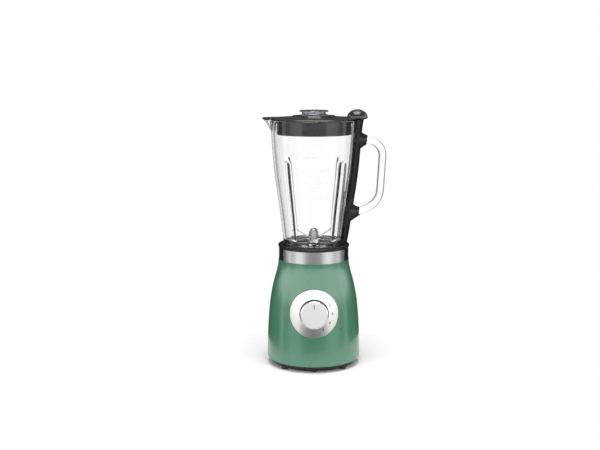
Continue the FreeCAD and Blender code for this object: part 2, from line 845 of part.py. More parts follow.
def armature_windings():
    turns_r = slot_circle_r + slot_r + end_turn_cover
    low_turns = tube(turns_r, shaft_r, stack_bottom - end_turn_length, stack_bottom)
    top_turns = tube(turns_r, shaft_r, stack_top, stack_top + end_turn_length)
    bars = around(cyl(slot_r, stack_bottom, stack_top, slot_circle_r), armature_slots)
    return fused([low_turns, top_turns] + bars)


def commutator():
    drum = cyl(commutator_r, commutator_bottom, commutator_top)
    neck = cyl(commutator_r - 2, commutator_top, stack_bottom - end_turn_length)
    groove = box(commutator_r - 0.8, commutator_r + 1, -0.25, 0.25, commutator_bottom,
                 commutator_top - 2)
    cuts = around(groove, commutator_bars)
    cuts.append(cyl(shaft_r, commutator_bottom, stack_bottom))
    return cut_all(drum.fuse(neck), cuts)


def cooling_fan():
    disc = cyl(fan_r, fan_top - 1.6, fan_top)
    hub = cyl(shaft_r + 4, fan_bottom, fan_top)
    vane = box(shaft_r + 3, fan_r, -0.8, 0.8, fan_bottom, fan_top - 1.6)
    vane.rotate(V(shaft_r + 3, 0, 0), UP, 18)
    vane = vane.common(cyl(fan_r, fan_bottom, fan_top))
    return fused([disc, hub] + around(vane, fan_blades)).cut(cyl(shaft_r, fan_bottom, fan_top))


def coupling(hub_bottom, hub_top, dog_bottom, dog_top, start):
    """Coupling half: a hub and four dogs."""
    hub = cyl(coupling_r, hub_bottom, hub_top)
    dog = tube(coupling_r, coupling_inner_r, dog_bottom, dog_top)
    dog = dog.common(sector(coupling_r + 1, dog_bottom, dog_top, 0, dog_angle / 2))
    return fused([hub] + around(dog, dog_count, start))


def drive_coupling():
    half = coupling(drive_hub_top - coupling_hub, drive_hub_top, drive_hub_top, drive_dog_top, 0)
    return half.cut(cyl(shaft_r, drive_hub_top - coupling_hub, drive_hub_top))


# ------------------------------------------------------------------- electrics
def control_board():
    board = box(-board_width / 2, board_width / 2, board_y, board_y + board_thickness,
                board_z() - board_height / 2, board_z() + board_height / 2)
    relay = box(-22, -8, board_y - 5, board_y, board_z() - 12, board_z() + 2)
    choke = Part.makeCylinder(5, 5, V(2, board_y - 5, board_z() + 6), V(0, 1, 0))
    terminal = box(12, 22, board_y - 4, board_y, board_z() - 12, board_z() + 8)
    return fused([board, relay, choke, terminal])


def suppression_capacitor():
    z0 = board_z() + board_height / 2 + 2
    body = box(-13, 13, board_y - 4, board_y + 4, z0, z0 + 12)
    legs = [cyl(0.5, z0 - 2, z0, side * 10, board_y + board_thickness / 2) for side in (-1, 1)]
    return fused([body] + legs)


def wiring_leads():
    """Leads from below the dial round the motor to the board, and the supply pair."""
    leads = []
    for side in (-1, 1):
        z = dial_height - 22
        turn = Part.Arc(V(side * 16, -math.sqrt(lead_circle_r ** 2 - 16 ** 2), z),
                        V(side * lead_circle_r, 0, z),
                        V(side * 20, math.sqrt(lead_circle_r ** 2 - 20 ** 2), z)).toShape()
        leads.append(pipe([turn], lead_r))
    level = clamp_level() + lead_r
    for side in (-1, 1):
        x = 17 + side * 2.4
        points = [V(side * 4, board_y, level), V(side * 4, board_y + 11, level),
                  V(x, board_y + 6, level + 18), V(x, board_y - 2, board_z() - 26),
                  V(x, board_y - 2, board_z() - 12)]
        leads.append(pipe(bent_path(points, [lead_bend_r] * 3), lead_r))
    return group(leads)


def cord_gland():
    surface = radius_at(shell_curve, gland_height)
    barrel = Part.makeCylinder(gland_r, shell_wall + 8, V(0, surface - shell_wall - 7, gland_height),
                               V(0, 1, 0))
    flange = Part.makeCylinder(gland_flange_r, 2.5, V(0, surface - 0.6, gland_height), V(0, 1, 0))
    flange = flange.cut(turned_under(shell_curve))
    bore = Part.makeCylinder(gland_bore_r, 30, V(0, surface - 20, gland_height), V(0, 1, 0))
    return fused([barrel, flange]).cut(bore)


def cord_clamp():
    """Bar over the cord, on a foot at each end, with its two screw holes."""
    bar_under = clamp_level() + clamp_foot_height
    bar_top = bar_under + clamp_bar_thickness
    middle_y = (clamp_inner_y + clamp_outer_y) / 2
    pieces = [box(-clamp_half_width, clamp_half_width, clamp_inner_y, clamp_outer_y, bar_under,
                  bar_top)]
    holes = []
    for side in (-1, 1):
        edge = side * clamp_half_width
        inner = side * (2 * clamp_screw_x - clamp_half_width)
        pieces.append(box(min(edge, inner), max(edge, inner), clamp_inner_y, clamp_outer_y,
                          clamp_level(), bar_under))
        holes.append(cyl(clamp_screw_r, clamp_level(), bar_top, side * clamp_screw_x, middle_y))
    return cut_all(fused(pieces), holes)


def clamp_screws():
    bar_top = clamp_level() + clamp_foot_height + clamp_bar_thickness
    middle_y = (clamp_inner_y + clamp_outer_y) / 2
    screws = []
    for side in (-1, 1):
        x = side * clamp_screw_x
        shank = cyl(clamp_screw_r, clamp_level(), bar_top, x, middle_y)
        head = cyl(1.8 * clamp_screw_r, bar_top, bar_top + clamp_head_height, x, middle_y)
        screws.append(shank.fuse(head))
    return group(screws)


# ------------------------------------------------------------------- interlock
def plunger_top():
    """Plunger's end, midway in the gap under the jar's heel."""
    return collar_top + heel_gap / 2


def plunger_bottom():
    return shoulder_bottom - 5


def plunger_flange_top():
    return shell_top + 10


def interlock_switch():
    start = plunger_x + plunger_r + 0.8 - interlock_length
    body = box(start, start + interlock_length, -interlock_half_width, interlock_half_width,
               shoulder_bottom - interlock_height, shoulder_bottom)
    pocket = cyl(plunger_r + run_gap, plunger_bottom() - 0.5, shoulder_bottom, plunger_x)
    tag = box(start + 2, start + 3, -1.6, 1.6, shoulder_bottom - interlock_height - 5,
              shoulder_bottom - interlock_height)
    other = tag.copy()
    other.translate(V(8, 0, 0))
    return fused([body, tag, other]).cut(pocket)


def switch_plunger():
    pin = cyl(plunger_r, plunger_bottom(), plunger_top(), plunger_x)
    flange = cyl(plunger_flange_r, plunger_flange_top() - 1.2, plunger_flange_top(), plunger_x)
    return pin.fuse(flange)


def plunger_spring():
    length = plunger_flange_top() - 1.2 - shell_top
    mean_r = (plunger_r + plunger_flange_r) / 2
    spring = coil_spring(mean_r, plunger_spring_wire / 2, length, 7)
    spring.translate(V(plunger_x, 0, shell_top))
    return spring


def rod_line():
    """Start point and direction of the push rod, clear of the glass over its length."""
    foot_z = heel + 2.5
    foot = V(radius_at(jar_curve, foot_z) + rod_glass_gap, 0, foot_z)
    heights = [heel + jar_height * share / 20 for share in range(4, 20)]
    steepest = max((radius_at(jar_curve, z) + rod_glass_gap - foot.x) / (z - foot_z)
                   for z in heights)
    return foot, V(steepest, 0, 1).normalize()


def along_rod(half_width, inner, outer, z0, z1):
    """Bar parallel to the push rod, between two heights and two offsets from its line."""
    start, direction = rod_line()
    across = V(direction.z, 0, -direction.x)
    low = start + direction * ((z0 - start.z) / direction.z)
    high = start + direction * ((z1 - start.z) / direction.z)
    corners = [low + across * inner, low + across * outer, high + across * outer,
               high + across * inner]
    side = Part.Face(Part.makePolygon(corners + corners[:1]))
    side.translate(V(0, -half_width, 0))
    return side.extrude(V(0, 2 * half_width, 0))


def handle_root_spans():
    """Heights between which each handle root passes the push rod, low root first."""
    foot, direction = rod_line()
    path = handle_path()
    spans = []
    for run in (path[-1], path[0]):
        a = run.valueAt(run.FirstParameter)
        b = run.valueAt(run.LastParameter)
        rise = (b.z - a.z) / (b.x - a.x)
        lean = direction.x / direction.z
        z = (a.z + rise * (foot.x - lean * foot.z + rod_thickness / 2 - a.x)) / (1 - rise * lean)
        reach = handle_r * math.sqrt(1 + rise ** 2) + abs(rise) * rod_thickness
        spans.append((z - reach - rod_eye_gap, z + reach + rod_eye_gap))
    return spans


def push_rod():
    """Flat bar with an eye round each handle root and a head under the lid's tab."""
    pieces = [
        along_rod(rod_width / 2, 0, rod_thickness, plunger_top() + 0.2, rim + 3),
        along_rod(rod_head_width / 2, 0, rod_thickness + 1.4, rim + 0.6, rim + 5.2),
    ]
    eyes = []
    for low, high in handle_root_spans():
        half = handle_r + rod_eye_gap
        pieces.append(along_rod(half + rod_eye_wall, 0, rod_thickness,
                                low - plunger_travel - rod_eye_wall, high + rod_eye_wall))
        eyes.append(along_rod(half, -1, rod_thickness + 1, low - plunger_travel, high))
    return cut_all(fused(pieces), eyes)


# ------------------------------------------------------------------- jar
def handle_path():
    top_z = rim - handle_top_below_rim
    low_corner = V(handle_grip_low_x, 0, heel + handle_low_corner_above_heel)
    low_z = heel + handle_low_above_heel
    top_root = V(radius_at(jar_curve, top_z) - jar_wall, 0, top_z)
    low_root = V(radius_at(jar_curve, low_z) - jar_wall / 2, 0, low_z)
    points = [top_root, V(handle_grip_top_x, 0, top_z), low_corner, low_root]
    return bent_path(points, [handle_top_bend_r, handle_low_bend_r])


def handle_height_at(x):
    """Height of the lower handle root's middle at a distance from the drive axis."""
    root = handle_path()[-1]
    a = root.valueAt(root.FirstParameter)
    b = root.valueAt(root.LastParameter)
    return a.z + (b.z - a.z) * (x - a.x) / (b.x - a.x)


def flute(r, offset):
    """Tapered bar with a ball at its top, following the wall at an offset."""
    low_z = heel + flute_bottom_above_heel
    high_z = rim - flute_top_below_rim
    low = V(radius_at(jar_curve, low_z) + offset, 0, low_z)
    high = V(radius_at(jar_curve, high_z) + offset, 0, high_z)
    bar = Part.makeCone(0.75 * r, r, low.distanceToPoint(high), low, high - low)
    ball_top = Part.makeSphere(r, high)
    ball_low = Part.makeSphere(0.75 * r, low)
    return around(fused([bar, ball_top, ball_low]), 4, flute_angle)


def spout(tip_r, root_r, height, above):
    """Flared pouring lip towards -X, as an oblique cone that runs on above the rim."""
    grow = (tip_r - root_r) * above / height
    lean = 2.0 * above / height
    root = Part.Wire(Part.makeCircle(root_r, V(-spout_centre + 2, 0, rim - height)))
    tip = Part.Wire(Part.makeCircle(tip_r + grow, V(-spout_centre - lean, 0, rim + above)))
    return Part.makeLoft([root, tip], True, True)


def glass_jar():
    outside = turned_under(jar_curve)
    neck = cyl(neck_r, neck_bottom, heel + jar_floor_thickness / 2)
    lip = spout(spout_tip_r, spout_root_r, spout_height, 1.0)
    lip = lip.cut(cyl(2 * spout_tip_r, rim, rim + 2, -spout_centre))
    solid = fused([outside, neck, pipe(handle_path(), handle_r), lip])
    cavity = turned_under(jar_inner_curve)
    cavity = cavity.common(cyl(jar_outline[-1][1], jar_floor, rim))
    corner = [e for e in cavity.Edges if abs(e.BoundBox.ZMax - jar_floor) < 0.01]
    cavity = cavity.makeFillet(jar_floor_fillet, corner)
    cavity = cut_all(cavity, flute(flute_ridge_r, -jar_wall + flute_ridge_inset))
    channel = spout(spout_tip_r - spout_wall, spout_root_r - spout_wall, spout_height - 2, 1.0)
    bore = cyl(neck_bore_r, neck_bottom - 1, jar_floor + 1)
    return cut_all(solid, [cavity, bore, channel] + flute(flute_groove_r, flute_groove_offset))


def jar_base_nut():
    floor = well_floor
    body = turned([
        (well_opening_r, floor), (nut_wall_r - 1, floor), (nut_wall_r, floor + 1),
        (nut_wall_r, heel - fit_gap), (neck_r + 0.2, heel - fit_gap), (neck_r + 0.2, floor + nut_floor),
        (well_opening_r, floor + nut_floor),
    ])
    lug = box(nut_wall_r - 1, well_r + lug_depth - fit_gap, -lug_width / 2, lug_width / 2,
              floor, floor + 10)
    return fused([body] + around(lug, lug_count, 45))


def jar_gasket():
    return tube(neck_r - 0.2, neck_bore_r + 0.2, neck_bottom - gasket_thickness, neck_bottom)


def blade_carrier():
    z0 = carrier_bottom
    flange_top = z0 + carrier_flange
    body = turned([
        (coupling_r + 4, z0), (carrier_r, z0), (carrier_r, flange_top),
        (neck_bore_r - 1, flange_top), (neck_bore_r - 4, flange_top + 3),
        (carrier_hub_r + 4, flange_top + 11), (carrier_hub_r, flange_top + 13),
        (carrier_hub_r - 1, carrier_top), (shaft_r + 1, carrier_top),
        (shaft_r + 1, bush_top() + seal_length), (shaft_r + bush_wall, bush_top() + seal_length),
        (shaft_r + bush_wall, bush_bottom()), (coupling_r + 2, bush_bottom()),
    ])
    return body


def bush_bottom():
    return driven_hub_bottom + coupling_hub + 1.0


def bush_top():
    return bush_bottom() + bush_length


def blade_bushing():
    return tube(shaft_r + bush_wall, shaft_r + run_gap, bush_bottom(), bush_top())


def shaft_seal():
    ring = tube(shaft_r + bush_wall, shaft_r + run_gap, bush_top(), bush_top() + seal_length)
    return ring.cut(tube(shaft_r + 2.5, shaft_r + 1.2, bush_top(), bush_top() + seal_length - 1.4))


# ------------------------------------------------------------------- handle cover strip
def strip_section(z, thickness):
    """Crescent outline of the strip at height z, hugging the glass."""
    inner_r = radius_at(jar_curve, min(z, rim - 0.01)) + fit_gap
    edge_r = inner_r + strip_edge
    inner_x = math.sqrt(inner_r ** 2 - strip_half_width ** 2)
    edge_x = math.sqrt(edge_r ** 2 - strip_half_width ** 2)
    inner_low = V(inner_x, -strip_half_width, z)
    inner_high = V(inner_x, strip_half_width, z)
    outer_low = V(edge_x, -strip_half_width, z)
    outer_high = V(edge_x, strip_half_width, z)
    edges = [
        Part.Arc(inner_low, V(inner_r, 0, z), inner_high).toShape(),
        Part.makeLine(inner_high, outer_high),
        Part.Arc(outer_high, V(inner_r + thickness, 0, z), outer_low).toShape(),
        Part.makeLine(outer_low, inner_low),
    ]
    return Part.Wire(edges)


def boot(root_z, face_z, reach):
    """Flared sleeve on the strip, from an oval root to a round face at x = reach."""
    slope = rod_line()[1]
    out = V(slope.z, 0, -slope.x)
    centre = V(radius_at(jar_curve, root_z) + strip_edge, 0, root_z)
    depth = (reach - centre.x) / out.x
    aside = (face_z - root_z - out.z * depth) / slope.z
    sections = []
    for share, half_height, half_width in (
            (0.0, boot_half_height, boot_half_width),
            (0.45, boot_waist_height, (boot_half_width + boot_face_r) / 2),
            (0.85, boot_face_r + boot_rounding / 2, boot_face_r),
            (1.0, boot_face_r - boot_rounding / 2, boot_face_r - boot_rounding)):
        oval = Part.Ellipse(V(0, 0, 0), half_height, half_width).toShape()
        oval.translate(V(share * aside, 0, share * depth))
        sections.append(Part.Wire(oval))
    sleeve = Part.makeLoft(sections, True, False)
    sleeve.Placement = FreeCAD.Placement(centre,
                                         FreeCAD.Rotation(slope, V(0, 1, 0), out, "ZXY"))
    return sleeve


def handle_cover():
    stations = [(0.0, strip_foot_thickness), (0.12, strip_thickness - 1), (0.35, strip_thickness),
                (0.6, strip_thickness), (0.85, strip_thickness), (1.0, strip_top_thickness)]
    low = heel + 0.4
    high = rim - 0.4
    sections = [strip_section(low + share * (high - low), thickness)
                for share, thickness in stations]
    strip = Part.makeLoft(sections, True, False)
    top_z = rim - handle_top_below_rim
    low_z = handle_height_at(boot_reach_low)
    boots = [boot(top_z - boot_top_drop, top_z, boot_reach_top),
             boot(low_z - boot_low_rise, low_z, boot_reach_low)]
    cover = fused([strip] + boots)
    cover = cover.cut(turned_under(outline_curve(jar_outline, heel, jar_height, fit_gap)))
    cover = cover.cut(pipe(handle_path(), handle_r + 0.1))
    depth = rod_thickness + rod_side_gap
    slots = [along_rod(rod_width / 2 + rod_side_gap, -8, depth, heel - 2, rim + 2)]
    for root_low, root_high in handle_root_spans():
        slots.append(along_rod(handle_r + rod_eye_gap + rod_eye_wall + rod_side_gap, -8, depth,
                               root_low - plunger_travel - rod_eye_wall - fit_gap,
                               root_high + plunger_travel + rod_eye_wall + fit_gap))
    return cut_all(cover, slots)


# ------------------------------------------------------------------- blades
def blade(rise, z, angle):
    """Two-tipped blade: flat middle, tips bent by rise over their length."""
    tip = blade_reach
    side = [V(-tip, 0, z + rise), V(-blade_flat, 0, z), V(blade_flat, 0, z), V(tip, 0, z + rise)]
    lift = V(0, 0, blade_thickness)
    outline = side + [p + lift for p in reversed(side)]
    strip = Part.Face(Part.makePolygon(outline + outline[:1]))
    strip.translate(V(0, -blade_width / 2, 0))
    strip = strip.extrude(V(0, blade_width, 0))
    half = [(-tip - 1, -blade_width / 2), (blade_flat, -blade_width / 2),
            (tip + 1, blade_width / 5)]
    corners = [V(x, y, z - tip) for x, y in half + [(-x, -y) for x, y in half]]
    plan = Part.Face(Part.makePolygon(corners + corners[:1])).extrude(V(0, 0, 2 * tip))
    strip = strip.common(plan).cut(cyl(shaft_r, z - tip, z + tip))
    strip.rotate(V(0, 0, 0), UP, angle)
    return strip


def upper_blade():
    return blade(blade_rise, blade_seat + blade_thickness + 1.2, 0)


def lower_blade():
    return blade(-blade_drop, blade_seat, 90)


def blade_washers():
    below = tube(blade_nut_r, shaft_r, carrier_top + 0.5, blade_seat)
    between = tube(blade_nut_r, shaft_r, blade_seat + blade_thickness,
                   blade_seat + blade_thickness + 1.2)
    return group([below, between])


def blade_stack_top():
    return blade_seat + 2 * blade_thickness + 1.2


def blade_shaft():
    return cyl(shaft_r, driven_dog_bottom + 1, blade_stack_top() + 6)


def blade_nut():
    z0 = blade_stack_top()
    body = hexagon(blade_nut_r, z0, z0 + 6)
    crown = Part.makeSphere(blade_nut_r - 1.4, V(0, 0, z0 + 6), UP, 0, 90, 360)
    return body.fuse(crown).cut(cyl(shaft_r, z0, z0 + 6))


def driven_coupling():
    half = coupling(driven_hub_bottom, driven_hub_bottom + coupling_hub, driven_dog_bottom,
                    driven_hub_bottom, 45)
    return half.cut(cyl(shaft_r, driven_dog_bottom, driven_hub_bottom + coupling_hub))


# ------------------------------------------------------------------- lid and cap
def lid_cover():
    rim_r = jar_outline[-1][1] + lid_overhang
    top = rim + lid_rim_thickness
    crown_edge = top + lid_crown_rise - lid_step
    filler_out = filler_r + filler_wall
    skirt_in = lid_skirt_r - lid_skirt_wall
    body = turned([
        (filler_r, lid_crown - 0.4), (filler_r + 1, lid_crown), (lid_crown_r - 1, lid_crown - 0.6),
        (lid_crown_r, crown_edge), (rim_r - 1, top), (rim_r, rim + 0.8), (rim_r, rim),
        (lid_skirt_r, rim), (lid_skirt_r, rim - lid_skirt_depth), (skirt_in, rim - lid_skirt_depth),
        (skirt_in, rim - 1), (filler_out + 1, rim - 1), (filler_out, rim - 3),
        (filler_out, rim - filler_depth), (filler_r, rim - filler_depth),
    ])
    spout_plate = cyl(lid_spout_r, rim, rim + lid_spout_thickness, -spout_centre)
    spout_plate = spout_plate.cut(cyl(lid_skirt_r, rim, rim + lid_spout_thickness))
    pocket = box(jar_outline[-1][1] + 0.6, dome_x + dome_r - 5, -dome_pocket_half,
                 dome_pocket_half, rim - 1, rim + 5.6)
    return fused([body, spout_plate, lid_dome()]).cut(pocket)


def lid_dome():
    """Thumb dome over the strip's top: a half ball with a short lip, stretched."""
    foot = V(dome_r - dome_lip_inset, 0, -dome_lip)
    side = V(dome_r, 0, 0)
    shoulder = V(dome_r * math.cos(math.pi / 4), 0, dome_r * math.sin(math.pi / 4))
    edges = [
        Part.makeLine(V(0, 0, -dome_lip), foot),
        Part.makeLine(foot, side),
        Part.Arc(side, shoulder, UP * dome_r).toShape(),
        Part.makeLine(UP * dome_r, V(0, 0, -dome_lip)),
    ]
    dome = Part.Face(Part.Wire(edges)).revolve(V(0, 0, 0), UP, 360)
    stretch = FreeCAD.Matrix()
    stretch.scale(1.0, dome_half_width / dome_r, dome_rise / dome_r)
    dome = dome.transformGeometry(stretch)
    dome.translate(V(dome_x, 0, rim + dome_seat))
    return dome.cut(cyl(jar_outline[-1][1] + fit_gap, rim - dome_lip, rim))


def lid_seal():
    low = rim - lid_skirt_depth - 1
    inner = lid_skirt_r
    outer = lid_skirt_r + seal_wall
    sleeve = tube(outer, inner, low, rim - 0.2)
    turn_under = tube(outer, lid_skirt_r - lid_skirt_wall, low, low + 1)
    bead_r = min(seal_bead_r, radius_at(jar_inner_curve, rim - 6) - fit_gap)
    bead = turned([(inner, rim - 6), (outer, rim - 6), (bead_r, rim - 4.4), (bead_r, rim - 3.6),
                   (outer, rim - 2), (inner, rim - 2)])
    spacing = (lid_skirt_depth - 8) / seal_ribs
    ribs = [turned([(inner, z - 0.9), (outer, z - 0.9), (seal_rib_r, z - 0.2), (seal_rib_r, z + 0.2),
                    (outer, z + 0.9), (inner, z + 0.9)])
            for z in [low + 1.6 + spacing * k for k in range(seal_ribs)]]
    return fused([sleeve, turn_under, bead] + ribs)


def filler_cap():
    rest = lid_crown
    outer = filler_r - 0.5
    top = rest + cap_rise
    bottom = rim - filler_depth + 2
    cup = turned([
        (outer - cap_wall, bottom), (outer, bottom), (outer, rest), (cap_rest_r, rest),
        (cap_rest_r, rest + 0.7), (cap_waist_r, rest + 2.0), (cap_waist_r + 0.6, top - 2.4),
        (cap_flange_r - 0.5, top - cap_flange_thickness + 0.2), (cap_flange_r, top - 1.0),
        (cap_flange_r - 0.8, top), (0, top), (0, top - cap_flange_thickness),
        (cap_waist_r - cap_wall, top - cap_flange_thickness), (cap_waist_r - cap_wall, rest),
        (outer - cap_wall, rest - 2),
    ])
    return cup


# ------------------------------------------------------------------- all nodes
PIECES = {
    "body_shell": body_shell,
    "base_plate": base_plate,
    "rubber_feet": rubber_feet,
    "foot_pads": foot_pads,
    "base_screws": base_screws,
    "top_collar": top_collar,
    "trim_band_front": lambda: trim_band(-90),
    "trim_band_rear": lambda: trim_band(90),
    "dial_bezel": dial_bezel,
    "dial_well": dial_well,
    "rotary_switch": rotary_switch,
    "switch_nut": switch_nut,
    "cord_gland": cord_gland,
    "cord_clamp": cord_clamp,
    "clamp_screws": clamp_screws,
    "motor_top_plate": motor_top_plate,
    "motor_low_plate": motor_low_plate,
    "tie_rods": tie_rods,
    "stator_core": stator_core,
    "stator_windings": stator_windings,
    "upper_bearing": lambda: bearing(motor_plate_top - bearing_width - hub_lip),
    "lower_bearing": lambda: bearing(lower_plate_under + hub_lip),
    "brush_holders": brush_holders,
    "carbon_brushes": carbon_brushes,
    "brush_springs": brush_springs,
    "vibration_dampers": vibration_dampers,
    "motor_screws": motor_screws,
    "control_board": control_board,
    "suppression_capacitor": suppression_capacitor,
    "wiring_leads": wiring_leads,
    "interlock_switch": interlock_switch,
    "plunger_spring": plunger_spring,
    "motor_shaft": motor_shaft,
    "armature_core": armature_core,
    "armature_windings": armature_windings,
    "commutator": commutator,
    "cooling_fan": cooling_fan,
    "drive_coupling": drive_coupling,
    "dial_knob": dial_knob,
    "knob_face": knob_face,
    "knob_pointer": lambda: on_dial(pointer_bar()),
    "switch_spindle": switch_spindle,
    "switch_plunger": switch_plunger,
    "push_rod": push_rod,
    "glass_jar": glass_jar,
    "jar_base_nut": jar_base_nut,
    "jar_gasket": jar_gasket,
    "blade_carrier": blade_carrier,
    "blade_bushing": blade_bushing,
    "shaft_seal": shaft_seal,
    "handle_cover": handle_cover,
    "blade_shaft": blade_shaft,
    "upper_blade": upper_blade,
    "lower_blade": lower_blade,
    "blade_washers": blade_washers,
    "blade_nut": blade_nut,
    "driven_coupling": driven_coupling,
    "lid_cover": lid_cover,
    "lid_seal": lid_seal,
    "filler_cap": filler_cap,
}


def main():
    os.makedirs("parts", exist_ok=True)
    shapes = {name: make() for name, make in PIECES.items()}

    # Drive axis from the middle of the overall box: spout to grip, knob to gland
    left = shapes["lid_cover"].BoundBox.XMin
    right = max(edge.BoundBox.XMax for edge in handle_path()) + handle_r
    front = shapes["knob_face"].BoundBox.YMin
    rear = shapes["cord_gland"].BoundBox.YMax
    shift = V(round(-(left + right) / 2, 1), round(-(front + rear) / 2, 1), 0)
    print("drive axis at", shift.x, shift.y)
    print("dial surface radius", round(dial_surface_r, 3), "rod direction", rod_line()[1])

    for name, shape in shapes.items():
        shape.translate(shift)
        shape.exportStep("parts/" + name + ".step")
        solids = len(shape.Solids)
        print(name, solids, "solid(s)", "valid" if shape.isValid() else "INVALID",
              "volume", round(shape.Volume, 1))


main()
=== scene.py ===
import math

import bmesh
import bpy
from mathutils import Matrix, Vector


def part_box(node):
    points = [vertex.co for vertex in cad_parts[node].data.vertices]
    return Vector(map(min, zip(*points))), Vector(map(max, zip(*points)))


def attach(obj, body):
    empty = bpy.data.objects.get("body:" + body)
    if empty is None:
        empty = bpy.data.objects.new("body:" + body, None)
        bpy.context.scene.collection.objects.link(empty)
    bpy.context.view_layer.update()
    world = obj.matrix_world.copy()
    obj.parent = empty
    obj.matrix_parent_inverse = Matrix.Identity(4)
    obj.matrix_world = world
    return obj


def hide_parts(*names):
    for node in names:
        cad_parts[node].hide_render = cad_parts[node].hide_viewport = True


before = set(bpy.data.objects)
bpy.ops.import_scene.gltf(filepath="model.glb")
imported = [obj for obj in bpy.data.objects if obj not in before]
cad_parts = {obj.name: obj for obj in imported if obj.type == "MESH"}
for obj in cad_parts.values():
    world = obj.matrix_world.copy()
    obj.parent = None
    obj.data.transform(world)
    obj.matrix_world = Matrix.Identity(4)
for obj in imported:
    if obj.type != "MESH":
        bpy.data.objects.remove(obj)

# Countertop blender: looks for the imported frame. Metres, +Z up, front towards -Y.

MM = 0.001
bpy.context.view_layer.update()


# ------------------------------------------------------------------ places from the frame
def middle(node):
    """Centre of a CAD node's box."""
    low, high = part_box(node)
    return (low + high) / 2


axis = middle("motor_shaft")
axis.z = 0.0
jar_low, jar_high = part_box("glass_jar")
neck_bottom = jar_low.z
rim = jar_high.z
heel_gap = 0.3 * MM             # heel of the glass over its foot nut
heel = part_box("jar_base_nut")[1].z + heel_gap
dial_out = (middle("knob_face") - middle("switch_spindle")).normalized()
dial_centre = middle("switch_spindle")


# ------------------------------------------------------------------ node tree helpers
class Tree:
    """A material's node tree, with short calls for adding and joining nodes."""

    def __init__(self, name):
        self.material = bpy.data.materials.new(name)
        self.material.use_nodes = True
        self.tree = self.material.node_tree
        self.tree.nodes.clear()
        output = self.tree.nodes.new("ShaderNodeOutputMaterial")
        self.shader = self.tree.nodes.new("ShaderNodeBsdfPrincipled")
        self.tree.links.new(self.shader.outputs[0], output.inputs["Surface"])
        self.place = self.node("ShaderNodeTexCoord").outputs["Object"]

    def node(self, kind, settings=None, **inputs):
        """New node; inputs are sockets to link or constants to set."""
        made = self.tree.nodes.new(kind)
        for key, value in (settings or {}).items():
            setattr(made, key, value)
        for key, value in inputs.items():
            self.feed(made, key.replace("_", " "), value)
        return made

    def feed(self, node, socket, value):
        """Link a socket, or set its constant."""
        target = node.inputs[int(socket)] if socket.isdigit() else node.inputs[socket]
        if isinstance(value, bpy.types.NodeSocket):
            self.tree.links.new(value, target)
        else:
            target.default_value = value

    def set(self, **inputs):
        """Sockets of the principled shader."""
        for key, value in inputs.items():
            self.feed(self.shader, key.replace("_", " "), value)

    def math(self, operation, first, second=0.0):
        made = self.node("ShaderNodeMath", {"operation": operation})
        self.feed(made, "0", first)
        self.feed(made, "1", second)
        return made.outputs[0]

    def noise(self, scale, detail=3.0, place=None):
        """Noise with a scale in features per metre."""
        made = self.node("ShaderNodeTexNoise", Vector=place or self.place, Scale=float(scale),
                         Detail=detail, Roughness=0.5)
        return made.outputs["Fac"]

    def stretched(self, x, y, z):
        """Object coordinates scaled along each axis."""
        made = self.node("ShaderNodeMapping", Vector=self.place, Scale=(x, y, z))
        return made.outputs["Vector"]

    def spread(self, value, low, high, from_low=0.3, from_high=0.7):
        """Value spread between two numbers."""
        made = self.node("ShaderNodeMapRange", Value=value)
        made.inputs["From Min"].default_value = from_low
        made.inputs["From Max"].default_value = from_high
        made.inputs["To Min"].default_value = low
        made.inputs["To Max"].default_value = high
        return made.outputs["Result"]

    def blend(self, factor, first, second):
        """Colour between two colours."""
        made = self.node("ShaderNodeMix", {"data_type": "RGBA"})
        self.feed(made, "0", factor)
        for index, value in ((6, first), (7, second)):
            if not isinstance(value, bpy.types.NodeSocket):
                value = (*value, 1.0)
            self.feed(made, str(index), value)
        return made.outputs[2]

    def bump(self, height, depth):
        """Bump of a real depth in metres."""
        return self.node("ShaderNodeBump", Height=height, Distance=depth).outputs["Normal"]


def hue(red, green, blue):
    """Linear colour from 8-bit display values."""
    return tuple(((c / 255 + 0.055) / 1.055) ** 2.4 if c > 10 else c / 255 / 12.92
                 for c in (red, green, blue))


# ------------------------------------------------------------------ materials
def painted(name, light, deep):
    """Glossy sprayed paint: nearly smooth, slight drift of shade and gloss, clear coat."""
    t = Tree(name)
    shade = t.blend(t.spread(t.noise(14, 2), 0.0, 1.0), deep, light)
    t.set(Base_Color=shade, Roughness=t.spread(t.noise(30, 2), 0.27, 0.33), Coat_Weight=0.6,
          Coat_Roughness=0.12, Normal=t.bump(t.noise(90, 0), 0.002 * MM))
    return t.material


def moulded(name, colour, rough_low, rough_high, grain=1600, grain_depth=0.02, shine=0.5):
    """Moulded plastic or rubber: fine texture, slight shade and gloss variation."""
    t = Tree(name)
    cloud = t.noise(45, 4)
    speck = t.noise(grain, 3)
    shade = t.blend(t.spread(cloud, 0.0, 1.0), tuple(0.82 * c for c in colour),
                    tuple(1.18 * c for c in colour))
    t.set(Base_Color=shade, Roughness=t.spread(cloud, rough_low, rough_high),
          Specular_IOR_Level=shine, Normal=t.bump(speck, grain_depth * MM))
    return t.material


def brushed(name, colour, place_of, rough=0.26, aniso=0.7, lines=2600, depth=0.002):
    """Brushed metal. place_of gives brushing coordinates and the brushing direction."""
    t = Tree(name)
    across, tangent = place_of(t)
    scratch = t.node("ShaderNodeTexNoise", Vector=across, Scale=float(lines), Detail=4.0,
                     Roughness=0.65).outputs["Fac"]
    cloud = t.noise(60, 3)
    shade = t.blend(t.spread(scratch, 0.0, 1.0), tuple(0.96 * c for c in colour), colour)
    t.set(Base_Color=shade, Metallic=1.0, Anisotropic=aniso, Tangent=tangent,
          Roughness=t.spread(cloud, rough - 0.01, rough + 0.01),
          Normal=t.bump(scratch, depth * MM))
    return t.material


